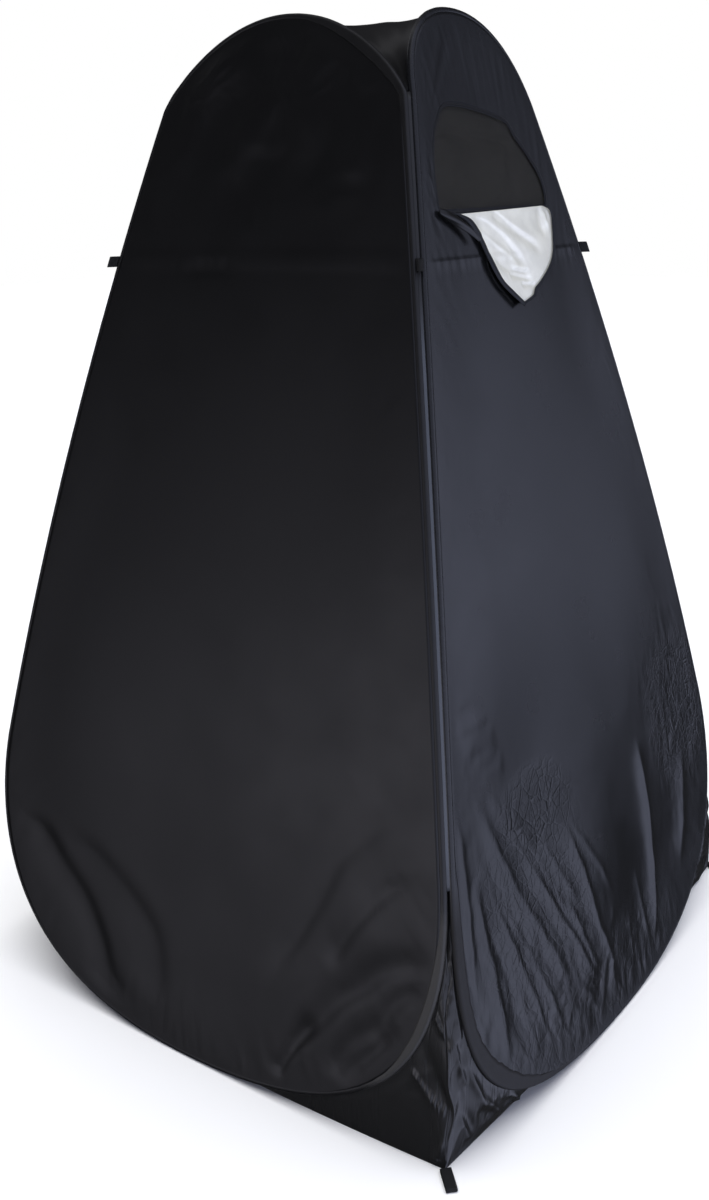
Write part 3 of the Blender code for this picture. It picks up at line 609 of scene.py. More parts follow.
def smooth_path(points, count):
    """A Catmull-Rom curve through given points: each piece a cubic with its neighbours' slopes."""
    points = np.asarray(points, float)
    padded = np.concatenate([2 * points[:1] - points[1:2], points, 2 * points[-1:] - points[-2:-1]])
    at = np.linspace(0, len(points) - 1 - 1e-9, count)
    i = at.astype(int)
    t = (at - i)[:, None]
    a, b, c, d = (padded[i + k] for k in range(4))
    curve = 2 * b + (c - a) * t + (2 * a - 5 * b + 4 * c - d) * t**2 + (3 * b - a - 3 * c + d) * t**3
    return curve / 2


def radius_at(polygon, centre, angles):
    """Distance from centre to a star-shaped outline at each angle."""
    away = polygon - np.asarray(centre)
    angle = np.arctan2(away[:, 1], away[:, 0])
    order = np.argsort(angle)
    return np.interp(angles, angle[order], np.hypot(*away.T)[order], period=2 * math.pi)


def door_outline(count):
    """(s, z) of the door: a superellipse over a straight sill, from right to left and back."""
    angle = np.linspace(0, math.pi, count)
    over = np.stack([DOOR_HALF * rounded(np.cos(angle), 2 / DOOR_POWER),
                     DOOR_RISE * np.sin(angle) ** (2 / DOOR_POWER)], 1)
    sill = np.stack([np.linspace(-DOOR_HALF, DOOR_HALF, count)[1:-1], np.zeros(count - 2)], 1)
    return np.concatenate([over, sill]) + [0, DOOR_SILL]


def door_grid(rows, columns):
    """(s, z) grid filling the door: straight rows from its left side to its right."""
    up = np.sin(np.linspace(math.pi / 2, 0, rows))[:, None]
    reach = DOOR_HALF * (1 - up**DOOR_POWER) ** (1 / DOOR_POWER)
    across = np.linspace(-1, 1, columns)[None]
    return np.stack(np.broadcast_arrays(reach * across, DOOR_SILL + DOOR_RISE * up), -1)


def window_rim(count):
    """Closed (s, z) line round the window's opening, even along its length."""
    return even_loop(smooth_path(WINDOW_OUTLINE, 240), count)


def ring_sheet(outer, inner, centre, angles, rings):
    """(s, z) grid of a sheet with a hole: rays from centre, each cut into rings between two outlines."""
    ways = np.stack([np.cos(angles), np.sin(angles)], 1)
    out = radius_at(outer, centre, angles)[:, None] * ways
    hole = radius_at(inner, centre, angles)[:, None] * ways
    share = np.linspace(0, 1, rings)[:, None, None]
    return np.asarray(centre) + out * (1 - share) + hole * share


def wrapped(wall, s, z, folds):
    """Height of a wall's cloth: level with the top of the hoop's sleeve, its folds held down near it."""
    return folds(s, z) * ramp(wall.room(s, z), CLOTH_INSET, HOLD_WIDTH) + CLOTH_LIFT


def lay(name, wall, sheet, folds, slot_name, node, materials, faces=None):
    """Cloth on a wall: a sheet of (s, z) points, lifted by the wall's folds."""
    s, z = np.moveaxis(sheet, -1, 0)
    points = wall.place(s, z, wrapped(wall, s, z, folds))
    faces = grid(*s.shape) if faces is None else faces
    return cloth_piece(name, points, faces, cloth_uv(s, z), slot_name, node, materials)


def wall_sheet(name, wall, columns, folds, node, flat, area, slot_name, *materials):
    """Cloth of a plain wall: straight rows from the hoop's left side to its right."""
    right, left = wall.inset(CLOTH_INSET)
    piece = lay(name, wall, between(left, right, columns), folds, slot_name, node, materials)


def window_wall(wall, folds, *materials):
    """The window wall's two panels, sewn along the seam: rays round the window above, rows below."""
    right, left = wall.inset(CLOTH_INSET)
    lower = right[:, 1] < SEAM_HEIGHT
    sides = []
    for half in (left, right):
        start = [np.interp(SEAM_HEIGHT, half[::-1, 1], half[::-1, 0]), SEAM_HEIGHT]
        sides.append(np.concatenate([[start], half[lower]]))
    low = between(*sides, WINDOW_COLUMNS)

    centre, line = np.array(WINDOW_CENTRE), low[0]
    line_angles = np.arctan2(line[:, 1] - centre[1], line[:, 0] - centre[0])
    arc_angles = np.linspace(line_angles[-1], line_angles[0] + 2 * math.pi, CROWN_RAYS)
    angles = np.concatenate([line_angles, arc_angles[1:]])
    outer = np.concatenate([right[~lower][::-1], left[~lower], line[:1], line, line[-1:]])
    high = ring_sheet(outer, window_rim(RIM_STEPS), centre, angles, WINDOW_RINGS)
    high[0, : len(line)] = line

    faces = np.concatenate([grid(*low.shape[:2]), grid(*high.shape[:2], low[..., 0].size)[:, ::-1]])
    sheet = np.concatenate([low.reshape(-1, 2), high.reshape(-1, 2)])
    piece = lay("window_wall_cloth", wall, sheet, folds, "blue_black_cloth", "window_wall",
                materials, faces)


def sweep(path, normals, profiles, closed=True):
    """Points of a profile carried along a path: path + across * a + normal * b for each (a, b).

    across is square to the path and to its normal. profiles is one profile for all points of the path,
    or one for each.
    """
    way = headings(path, closed)
    normals = unit(normals - (normals * way).sum(1)[:, None] * way)
    across = np.cross(normals, way)
    a, b = profiles[..., 0, None], profiles[..., 1, None]
    return path[:, None] + across[:, None] * a + normals[:, None] * b


def capped(rows):
    """Rows of a tube with each end drawn together to a point."""
    first, last = (row.mean(1, keepdims=True) + 0 * row for row in (rows[:1], rows[-1:]))
    return np.concatenate([first, rows, last])


def wall_normals(wall, s, z):
    """Outward unit normals of a wall's middle surface at (s, z)."""
    step = 0.002
    up = wall.place(s, z + step) - wall.place(s, z - step)
    side = wall.place(s + step, z) - wall.place(s - step, z)
    return unit(np.cross(side, up))


def sleeve_profile(radius, width, edge):
    """(a, b) of a sleeve: a round bulge over the spring from below to its top, then a flat edge and back.

    The flat edge runs inwards over the wall's cloth and ends at the height edge. Each argument is an array
    with one number for each place along the hoop.
    """
    turn = np.linspace(BULGE_START, 0.5 * math.pi, BULGE_STEPS)
    bulge = np.stack([radius[:, None] * np.cos(turn), radius[:, None] * np.sin(turn)], -1)
    share = np.linspace(0, 1, TAPE_STEPS + 1)[1:]
    a = -width[:, None] * share
    b = radius[:, None] + (edge - radius)[:, None] * share**2
    over = np.stack([a, b - EDGE_DIP * share**8], -1)
    under = np.stack([a, b - EDGE_THICK], -1)[:, ::-1]
    return np.concatenate([bulge, over, under, bulge[:, :1]], 1)


def add_sleeve(wall, seed, wide, material):
    """Sleeve of one hoop: the profile carried once round the hoop.

    Its flat edge is wider at the given places, each (s, z), reach sideways and up, and extra width, and
    lies on the cloth there; elsewhere it ends in the cloth.
    """
    steps = SLEEVE_STEPS[wall.name]
    s, z = even_loop(round_trip(wall.right, wall.left), steps).T
    turn = np.linspace(0, 2 * math.pi, steps, endpoint=False)
    ring_x, ring_y = np.cos(turn) * 9, np.sin(turn) * 9
    radius = SLEEVE * (0.93 + 0.02 * noise(ring_x * 6, ring_y * 6, seed))
    extra = sum(more * blob(s, z, centre, reach) for centre, reach, more in wide)
    wavy = 1 + 0.14 * noise(ring_x * 4, ring_y * 4, seed + 2)
    edge = CLOTH_LIFT - 0.0003 + 0.0014 * ramp(extra, 0.002, 0.006)
    profiles = sleeve_profile(radius, SLEEVE_EDGE + extra * wavy, edge)
    rows = close(sweep(wall.place(s, z), wall_normals(wall, s, z), profiles))
    tube_piece(wall.name + "_hoop_sleeve", rows, material, "sleeve", wall.name + "_hoop")


def leaving(points, targets):
    """Points moved from a hoop's middle line into its sleeve's edge, on the side of targets."""
    along, way = headings(points), targets - points
    return points + unit(way - (way * along).sum(1)[:, None] * along) * (SLEEVE - SLEEVE_BITE)


def corner_ways(sign):
    """Unit vectors on the ground at a corner: outwards on its diagonal, and square to that."""
    x, y = np.sign(sign) / math.sqrt(2)
    return np.array([x, y, 0]), np.array([-y, x, 0])


def corner_point(first, second):
    """Where cloth starts at a split: behind the two sleeves that touch there."""
    middle = (first + second) / 2
    return middle - corner_ways(middle[:2])[0] * BEHIND_SLEEVES


def valley(first, second, z):
    """Points midway between the middle lines of two neighbouring hoops, at the heights z."""
    ends = []
    for wall, side in ((first, 1), (second, -1)):
        ends.append(wall.place(side * (half_width(z, wall.widths, wall.bulge) - STAGGER_FAR), z))
    return (ends[0] + ends[1]) / 2


def surface_normals(points):
    """Unit normals of a grid of points, from its slopes along rows and columns."""
    down, right = np.gradient(points, axis=0), np.gradient(points, axis=1)
    normal = np.cross(down, right)
    return normal / np.linalg.norm(normal, axis=-1).clip(1e-9)[..., None]


def taut_grid(front, window, back, side):
    """Grid between four borders that follow each other anticlockwise, odd in count, ends shared.

    Cloth is pulled straight across each corner, between the points of its two borders that lie the same
    number of steps from it. The middle, out of the corners' reach, is the bilinear patch of the four
    middle points.
    """
    count = len(front)
    half = count // 2
    row, column = np.mgrid[:count, :count]
    up, across = np.abs(row - half), np.abs(column - half)
    steps = np.minimum(2 * half - up - across, half)
    at_column = np.where(column < half, steps, count - 1 - steps)
    at_row = np.where(row < half, steps, count - 1 - steps)
    first = np.where((row < half)[..., None], front[at_column], back[::-1][at_column])
    second = np.where((column < half)[..., None], side[::-1][at_row], window[at_row])
    share = ((half - up) / np.maximum(2 * half - up - across, 1))[..., None]
    corner = first * (1 - share) + second * share
    a = ((column + row) / (2 * half) - 0.5)[..., None]
    b = ((column - row) / (2 * half) + 0.5)[..., None]
    low = side[half] * (1 - a) + back[half] * a
    high = front[half] * (1 - a) + window[half] * a
    return np.where((up + across < half)[..., None], low * (1 - b) + high * b, corner)


def soften(points, sweeps):
    """The grid with each inner point made the mean of its four neighbours, sweeps times over."""
    for _ in range(sweeps):
        around = points[:-2, 1:-1] + points[2:, 1:-1] + points[1:-1, :-2] + points[1:-1, 2:]
        points[1:-1, 1:-1] = around / 4
    return points


def add_roof(*materials):
    """Roof: cloth pulled taut between the four hoops' crowns, softened and creased from its corners."""
    arcs = {}
    for name, wall in WALLS.items():
        arc = np.concatenate([wall.left[Wall.TOP :: -1], wall.right[1 : Wall.TOP + 1]])
        arcs[name] = wall.place(*resample(arc, ROOF_STEPS).T)
    middle = np.mean([arc.mean(0) for arc in arcs.values()], 0) - [0, 0, ROOF_DIP]
    edges = {name: leaving(arc, middle) for name, arc in arcs.items()}
    for first, second, *_ in CORNERS.values():
        edges[first][-1] = edges[second][0] = corner_point(arcs[first][-1], arcs[second][0])
    points = soften(taut_grid(**edges), ROOF_SWEEPS)
    u, v = np.linspace(0, 1, ROOF_STEPS)[None, :], np.linspace(0, 1, ROOF_STEPS)[:, None]
    from_side, from_end = np.minimum(u, 1 - u), np.minimum(v, 1 - v)
    x, y = points[..., 0], points[..., 1]
    near = np.exp(-((from_side + from_end) / ROOF_REACH) ** 2)
    angle = np.arctan2(ROOF_HALF[1] - np.abs(y), ROOF_HALF[0] - np.abs(x))
    creases = 0.0035 * near * noise(angle * 11 + np.sign(x) * 3 + np.sign(y) * 7, near * 1.5, 79)
    creases = creases + 0.0022 * crumple(x * 7, y * 7, 71) + 0.0016 * noise(x * 17, y * 17, 75)
    held = creases * ramp(np.minimum(from_side, from_end), 0, 0.08)
    points = points - surface_normals(points) * held[..., None]
    piece = cloth_piece("roof_cloth", points[::-1], grid(ROOF_STEPS, ROOF_STEPS), cloth_uv(x, y)[::-1],
                        "black_cloth", "roof", materials)


def ridge_line(start, ground, handles, count):
    """A gusset's outer fold: down behind the sleeves, then out to the ground corner."""
    outwards, drop, rise = handles
    way = corner_ways(ground[:2])[0]
    return bezier(start, start + way * outwards - [0, 0, drop], ground + [0, 0, rise], ground, count)


def gusset_rough(facet, near, along, height, v, seed):
    """Crumples of one facet of a gusset; the near one's are calmer towards the ground and its top."""
    if near:
        size = NEAR_ROUGH[facet] * ramp(height, 0.004, 0.090) * ramp(1 - v, 0.10, 0.50)
        rough = size * (crumple(along * 13 + seed, height * 9, seed + facet, 2) - ROUGH_MEAN)
    else:
        rough = 0.019 * (crumple(along * 15 + seed, height * 10, seed + facet, 4) - ROUGH_MEAN)
    rough = rough + 0.005 * noise(along * 7, height * 5, seed + 9)
    for side, start, end, width, high in NEAR_CREASES if near else ():
        if side == facet:
            rough = rough + fold(along, height, start, end, width, high)
    return rough


def add_gusset(name, first, second, ground, near, seed, *materials):
    """Gusset: rows from each hoop's lower arc to the ridge, then to the hem on the ground, crumpled.

    The near one, in the photograph's middle, has its own finer grid, creases and leaning ridge.
    """
    rows, columns = NEAR_GRID if near else GUSSET_GRID
    arcs = []
    for wall, half in ((first, first.right), (second, second.left)):
        arcs.append(wall.place(*resample(half[-Wall.LOW - 1 :], rows + 2)[:rows].T))
    start = corner_point(arcs[0][0], arcs[1][0])
    outwards, sideways = corner_ways(ground)
    ground = np.array([*ground, HEM_HEIGHT])
    ridge_rows = int(rows * RIDGE_SHARE)
    ridge = ridge_line(start, ground, RIDGE_HANDLES[near], ridge_rows)
    drop = np.linspace(0, 1, ridge_rows)[:, None]
    wobble = noise(drop * 6, drop * 0, seed + 40) * RIDGE_WOBBLE * np.sin(math.pi * drop)
    above = (ridge[:, 2:] - RIDGE_LEAN_HEIGHT) / RIDGE_LEAN_REACH
    wobble = wobble + near * RIDGE_LEAN * np.exp(-(above**2))
    dent = noise(drop * 9, drop * 0, seed + 44) * RIDGE_DENT * np.sin(math.pi * drop)
    ridge = ridge + sideways * wobble + outwards * dent
    points, faces, uvs = [], [], []
    for facet, (wall, arc) in enumerate(zip((first, second), arcs)):
        heel = arc[-1] + (wall.place(0.0, 0.0, -0.012) - wall.place(0.0, 0.0))
        heel[2] = HEM_HEIGHT
        share = np.linspace(0, 1, rows - ridge_rows + 1)[1:, None]
        sag = np.sin(math.pi * share) * (HEM_SAG - near * NEAR_SAG[facet])
        edge = np.concatenate([ridge, ground + (heel - ground) * share - outwards * sag])
        border = leaving(arc, edge)
        border[0] = edge[0] = start
        sheet = between(border, edge, columns)
        u, v = np.broadcast_arrays(np.linspace(0, 1, columns), np.linspace(0, 1, rows)[:, None])
        along, away, height = sheet @ sideways, sheet @ outwards, sheet[..., 2]
        hold = ramp(u, 0, 0.18) * ramp(1 - u, 0, 0.08) * ramp(v, 0.02, 0.2)
        rough = gusset_rough(facet, near, along, height, v, seed) * hold
        normal = surface_normals(sheet) * (-1 if facet else 1)
        sheet = sheet + normal * rough[..., None]
        sheet[..., 2] = np.maximum(sheet[..., 2], HEM_HEIGHT)
        block = grid(rows, columns, facet * rows * columns)
        faces.append(block[:, ::-1] if facet else block)
        points.append(sheet)
        uvs.append(cloth_uv(along, away))
    piece = cloth_piece(name, np.array(points), np.concatenate(faces), np.array(uvs),
                        "blue_black_cloth", name.replace("_cloth", ""), materials)


def loop_points(reach, opening):
    """Strap loop as its parts out, across and along: a thin rounded slab carried round a long ring."""
    radius = (opening + WEBBING_THICK) / 2
    turn = np.linspace(0, math.pi, 16)
    out = radius * np.sin(turn)
    far = np.stack([reach - WEBBING_THICK / 2 - radius + out, -radius * np.cos(turn)], 1)
    near = np.stack([WEBBING_THICK / 2 + radius - out, radius * np.cos(turn)], 1)
    ring = even_loop(np.concatenate([far, near]), 52)
    way = headings(ring, True)
    edge = np.linspace(0, 2 * math.pi, 17)
    along = WEBBING / 2 * rounded(np.cos(edge), 0.25)[None, :, None]
    rise = WEBBING_THICK / 2 * rounded(np.sin(edge), 0.5)[None, :, None]
    flat = ring[:, None] + np.stack([way[:, 1], -way[:, 0]], 1)[:, None] * rise
    points = close(np.concatenate([flat, np.broadcast_to(along, (*flat.shape[:2], 1))], -1))
    return points[..., :1], points[..., 1:2], points[..., 2:]


def strap_piece(name, points, material, node):
    """A strap loop; its coordinates run along it, then across it."""
    uv = tape_uv(points, 1)[..., ::-1]
    return dress(make_mesh(name, points, tube(points), uv, material), "webbing", node)


def add_guy_loop(corner, first, second, sign, material):
    """Loop for a guy line, upright in the valley between two sleeves."""
    low, middle, high = valley(first, second, GUY_HEIGHT + WEBBING / 2 * np.array([-1, 0, 1]))
    outwards, sideways = corner_ways(sign)
    out, across, along = loop_points(GUY_REACH, GUY_OPENING)
    place = middle + (out + GUY_SEAT) * outwards + across * sideways + along * ((high - low) / WEBBING)
    strap_piece(corner + "_guy_strap", place, material, corner + "_guy_loop")


def add_corner_seam(corner, first, second, sign, material):
    """Bound seam in the valley between two sleeves, from the low split to the high one."""
    z = np.linspace(SEAM_LOW, SEAM_HIGH, SEAM_STEPS)
    outwards = corner_ways(sign)[0]
    wavy = 0.0003 * noise(z * 30, z * 0, 140)[:, None]
    path = valley(first, second, z) + outwards * (SEAM_SEAT + wavy)
    rows = capped(sweep(path, outwards, band_profile(SEAM_HALF, SEAM_THICK), False))
    tube_piece(corner + "_corner_seam", rows, material, "sleeve")


def add_peg_loop(corner, ground, seat, material):
    """Loop for a peg, on the ground at a gusset's corner: outwards, or inwards for a seat below zero."""
    outwards, sideways = (way * math.copysign(1, seat) for way in corner_ways(ground))
    out, across, along = loop_points(PEG_REACH, PEG_OPENING)
    place = np.array([*ground, 0]) + (out + abs(seat)) * outwards - along * sideways
    place = place + (across + PEG_OPENING / 2 + WEBBING_THICK + PEG_CLEARANCE) * [0, 0, 1]
    strap_piece(corner + "_peg_strap", place, material, corner + "_peg_loop")


def add_net(wall, material):
    """Net of the window, slack behind the opening, with one soft crease across its top."""
    centre = np.array(WINDOW_CENTRE)
    from_centre = window_rim(RIM_STEPS) - centre
    angles = np.linspace(0, 2 * math.pi, NET_RAYS)
    sheet = ring_sheet(centre + from_centre * NET_MARGIN, centre[None], centre, angles, NET_RINGS)
    s, z = sheet[..., 0], sheet[..., 1]
    slack = CLOTH_LIFT - NET_DEPTH - 0.0020 * noise(s * 7, z * 9, 91) - 0.0012 * crumple(s * 11, z * 12, 95)
    slack = slack - fold(s, z, (-0.17, 1.712), (0.13, 1.690), 0.012, 0.0035, 0.006, 2.0)
    piece = cloth_piece("window_net", wall.place(s, z, slack), grid(*s.shape)[:, ::-1], cloth_uv(s, z),
                        "net", "window_mesh", [material], NET_THICK)


def band_profile(half, thick):
    """(a, b) of a flat tape: a superellipse, half wide and thick high, closed."""
    turn = np.linspace(0, 2 * math.pi, 13)
    return np.stack([half * rounded(np.cos(turn), 0.4), thick / 2 * rounded(np.sin(turn), 0.7)], -1)


def carried_band(name, wall, path, lift, half, thick, material, node):
    """Tape carried along a closed (s, z) path on a wall's outside."""
    s, z = path.T
    rows = sweep(wall.place(s, z, lift), wall_normals(wall, s, z), band_profile(half, thick))
    tube_piece(name, close(rows), material, "tape", node)


def add_teeth(name, wall, path, lift, material):
    """Zip coil along a closed path, at a height or a list of them: bars in two rows, one box each."""
    line = np.column_stack([path, np.broadcast_to(lift, len(path))])
    count = int(np.linalg.norm(np.diff(close(line), axis=0), axis=1).sum() / ZIP_PITCH)
    s, z, lift = even_loop(line, count).T
    centre, normal = wall.place(s, z, lift), wall_normals(wall, s, z)
    tangent = headings(centre, True)
    across = np.cross(normal, tangent)
    side = np.where(np.arange(count) % 2, 1.0, -1.0)[:, None]
    box = np.array([[x, y, h] for x in (-1, 1) for y in (-1, 1) for h in (-1, 1)], float)
    a, b, c = np.moveaxis((box * TOOTH)[None], -1, 0)[..., None]
    points = (centre + across * side * TOOTH_OFFSET)[:, None] + a * across[:, None]
    points = points + b * tangent[:, None] + c * normal[:, None]
    quads = np.array([[0, 1, 3, 2], [4, 6, 7, 5], [0, 4, 5, 1], [2, 3, 7, 6], [0, 2, 6, 4], [1, 5, 7, 3]])
    faces = (np.arange(count)[:, None, None] * 8 + quads[None]).reshape(-1, 4)[:, ::-1]
    piece = make_mesh(name, points, faces, np.zeros((count * 8, 2)), material)
    piece.data.shade_flat()
    dress(piece, "tape")


# Window cover: silver face's left edge, outer edge and right edge, as (s, z) from the sill to the tip
FLAP_INNER = ((-0.150, 1.567), (-0.118, 1.557), (-0.098, 1.536), (-0.085, 1.513), (-0.077, 1.491),
              (-0.070, 1.473), (-0.057, 1.451), (-0.034, 1.432), (-0.003, 1.409))
FLAP_LEFT = ((-0.168, 1.569), (-0.136, 1.556), (-0.115, 1.535), (-0.101, 1.512), (-0.093, 1.489),
             (-0.085, 1.470), (-0.069, 1.447), (-0.045, 1.427), (-0.008, 1.402))
FLAP_RIGHT = ((0.155, 1.5745), (0.178, 1.567), (0.183, 1.551), (0.175, 1.529), (0.158, 1.496),
              (0.138, 1.474), (0.112, 1.457), (0.078, 1.439), (0.055, 1.428), (0.043, 1.417),
              (0.023, 1.411), (-0.005, 1.406))
FLAP_TOP, FLAP_LOW = 1.5745, 1.399
# Its distance from the wall's middle at the sill, what its curl adds at the tip, the hem's way inwards,
# and the line of its gathered corner
FLAP_OFF, FLAP_CURL, FLAP_HEM = CLOTH_LIFT + 0.0026, 0.009, np.array([-0.0045, 0.0015])
FLAP_FOLD = ((-0.214, 1.574), (-0.196, 1.567), (-0.170, 1.556), (-0.140, 1.540), (-0.118, 1.522))
# Where the silver face starts between its outer and inner left edges, the height of its tape's roll, and
# the steps across that roll and along the gathered corner
FLAP_SHARE, ROLL, ROLL_STEPS, FOLD_STEPS = 0.85, 0.0016, 9, 40
# Least distance from the cover to the wall's cloth; the gathered corner's radius at its ends, what is
# added in its middle, and its distance from the wall's cloth at its start and what is added to its end
FLAP_GAP, FOLD_THIN, FOLD_MORE, FOLD_OUT, FOLD_RISE = 0.0018, 0.0035, 0.0065, 0.005, 0.010
# Creases of the cover, gentle on the right of their way: (s, z) along each, width, height
FLAP_CREASES = (
    (((-0.110, 1.559), (-0.071, 1.548), (-0.051, 1.539), (-0.015, 1.519), (0.001, 1.506), (0.024, 1.487),
      (0.038, 1.466)), 0.0080, -0.0062),
    (((-0.040, 1.574), (-0.025, 1.564), (0.006, 1.546), (0.036, 1.531), (0.076, 1.513), (0.111, 1.497)),
     0.0065, -0.0042),
    (((-0.100, 1.534), (-0.081, 1.520), (-0.057, 1.505), (-0.029, 1.490), (-0.011, 1.483), (0.010, 1.478)),
     0.0110, -0.0056),
    (((-0.056, 1.486), (-0.036, 1.478), (-0.005, 1.467), (0.030, 1.461), (0.045, 1.462)), 0.0046, -0.0046),
    (((-0.025, 1.461), (-0.010, 1.457), (0.024, 1.451), (0.052, 1.447)), 0.0038, -0.0034),
    (((0.005, 1.441), (0.021, 1.439), (0.043, 1.437), (0.056, 1.438)), 0.0032, -0.0028),
    (((0.134, 1.572), (0.138, 1.565), (0.141, 1.554), (0.136, 1.538), (0.145, 1.526)), 0.0056, -0.0060),
    (((0.158, 1.566), (0.154, 1.550), (0.166, 1.534)), 0.0044, 0.0036),
)


def flap_out(s, z, lift=0.0):
    """How far the cover stands off the wall: more towards its tip, with folds running down it."""
    v = np.clip((FLAP_TOP - z) / (FLAP_TOP - FLAP_LOW), 0, 1)
    total = FLAP_OFF + FLAP_CURL * v**1.4
    for points, width, height in FLAP_CREASES:
        total = total + crease(s, z, points, width, height) * ramp(v, 0, 0.10)
    rough = 0.0007 * (crumple(s * 24, z * 24, 101) - ROUGH_MEAN) + 0.0022 * noise(s * 9, z * 8, 105)
    total = total + 0.0040 * blob(s, z, (0.08, 1.50), (0.06, 0.05)) + rough * ramp(v, 0.02, 0.2)
    return np.maximum(total, wrapped(WALLS["window"], s, z, window_folds) + FLAP_GAP) + lift


def add_flap(wall, silver, outside, tape):
    """Window cover folded down: rows from its left edge to its right, and the tape on its edge."""
    outer_left, inner_left = (smooth_path(edge, FLAP_ROWS) for edge in (FLAP_LEFT, FLAP_INNER))
    left = outer_left * (1 - FLAP_SHARE) + inner_left * FLAP_SHARE
    s, z = np.moveaxis(between(left, smooth_path(FLAP_RIGHT, FLAP_ROWS), FLAP_COLUMNS), -1, 0)
    piece = cloth_piece("window_cover", wall.place(s, z, flap_out(s, z)), grid(*s.shape), cloth_uv(s, z),
                        "silver_lining", "window_flap", (silver, outside))

    inner_right = np.array(FLAP_RIGHT)
    inner_right = inner_right + FLAP_HEM * np.linspace(1, 1.4, len(inner_right))[:, None]
    inner_right[-1] = FLAP_INNER[-1]
    outer, inner = (
        np.concatenate([smooth_path(left, 60), smooth_path(right, 60)[-2::-1]])
        for left, right in ((FLAP_LEFT, FLAP_RIGHT), (FLAP_INNER, inner_right))
    )
    strip = between(outer, inner, ROLL_STEPS)
    s, z = strip[..., 0], strip[..., 1]
    roll = ROLL * np.sin(math.pi * np.linspace(0, 1, ROLL_STEPS))
    points = wall.place(s, z, flap_out(s, z, ROLL) + roll + 0.0006)
    cloth_piece("cover_tape", points[:, ::-1], grid(*s.shape), tape_uv(strip),
                "tape", "flap_binding", [tape], TAPE_THICK)


def add_flap_fold(wall, material):
    """The cover's gathered left corner: a soft roll that tapers away from the sill's end."""
    s, z = smooth_path(FLAP_FOLD, FOLD_STEPS).T
    share = np.linspace(0, 1, FOLD_STEPS)
    turn = np.linspace(0, 2 * math.pi, 25)[None]
    size = (FOLD_THIN + FOLD_MORE * np.sin(math.pi * share**0.8) ** 0.8)[:, None]
    size = size * (1 + 0.16 * np.sin(turn * 3 + share[:, None] * 5))
    profiles = np.stack([size * np.cos(turn) * 0.8, size * np.sin(turn) * 0.45], -1)
    profiles[0] *= 0.15
    profiles[-1] *= 0.1
    path = wall.place(s, z, CLOTH_LIFT + FOLD_OUT + FOLD_RISE * share)
    rows = capped(sweep(path, wall_normals(wall, s, z), profiles, False))
    tube_piece("cover_fold", rows, material, "blue_black_cloth")


def add_door(wall, folds, cloth, lining, tape, coil, metal):
    """Zipped door of the back wall: the wall with its opening, the panel, the tape, coil and slider."""
    outer = round_trip(*wall.inset(CLOTH_INSET))
    angles = np.linspace(0, 2 * math.pi, DOOR_RAYS)
    sheet = ring_sheet(outer, door_outline(400), DOOR_CENTRE, angles, DOOR_RINGS)
    faces = grid(*sheet.shape[:2])[:, ::-1]
    piece = lay("back_wall_cloth", wall, sheet, folds, "black_cloth", "back_wall", (cloth, lining), faces)

    sheet = door_grid(*DOOR_GRID)
    panel = lay("door_cloth", wall, sheet, folds, "black_cloth", "door_panel", (cloth, lining))

    line = resample(even_loop(door_outline(600), 600), DOOR_STEPS)
    out = wrapped(wall, *line.T, folds)
    carried_band("door_zip_tape", wall, line, out + TAPE_RISE, DOOR_TAPE_HALF, TAPE_THICK, tape, "door_zip")
    add_teeth("door_zip_coil", wall, line, out + COIL_RISE, coil)
    add_slider(wall, SLIDER_PLACE, CLOTH_LIFT + SLIDER_RISE, metal)


def add_slider(wall, place, out, metal):
    """Zip slider: a body that widens to its shoulders, a bridge over it, and a wire pull hanging down."""
    s, z = place
    centre, normal = wall.place(s, z, out), wall_normals(wall, s, z)
    up = unit(wall.place(s, z + 0.001, out) - centre)
    across = np.cross(up, normal)

    def local(*parts):
        a, b, c = (np.asarray(part)[..., None] for part in parts)
        return centre + across * a + up * b + normal * c

    share, turn = np.linspace(0, 1, 30)[:, None], np.linspace(0, 2 * math.pi, 33)
    end = np.maximum(1 - np.abs(2 * share - 1) ** 6, 0) ** 0.4
    half = (BODY_HALF + BODY_SHOULDER * ramp(share, 0.2, 0.75)) * end
    body = local(half * rounded(np.cos(turn), 0.6), (share - 0.5) * BODY_LENGTH + 0 * turn,
                 BODY_OUT + BODY_THICK * end * rounded(np.sin(turn), 0.6))
    arc = np.linspace(0, math.pi, 20)
    bridge_path = local(0 * arc, BRIDGE_HALF * np.cos(arc), BRIDGE_FOOT + BRIDGE_RISE * np.sin(arc))
    ring = np.linspace(0, 2 * math.pi, 64, endpoint=False)
    pull_path = local(PULL_HALF * rounded(np.cos(ring), 0.5),
                      PULL_MIDDLE + PULL_REACH * rounded(np.sin(ring), 0.7), PULL_OUT + 0 * ring)
    circle = np.stack([np.cos(turn), np.sin(turn)], -1)
    bridge = sweep(bridge_path, across, circle * BRIDGE_WIRE, False)
    pull = close(sweep(pull_path, normal, circle * PULL_WIRE))
    points, faces, count = [], [], 0
    for rows in (body[::-1], bridge, pull):
        points.append(rows.reshape(-1, 3))
        faces.append(tube(rows, count))
        count += len(points[-1])
    uv = np.zeros((count, 2))
    piece = make_mesh("door_slider_body", np.concatenate(points), np.concatenate(faces), uv, metal)
    dress(piece, "slider_metal", "door_slider")


def maths(operation, reflected=False):
    """A method that adds a Math node; for a reflected operator, the other value comes first."""

    def apply(self, *others):
        values = (*others, self) if reflected else (self, *others)
        return self.paint.node("ShaderNodeMath", {"operation": operation}, dict(enumerate(values)))

    return apply


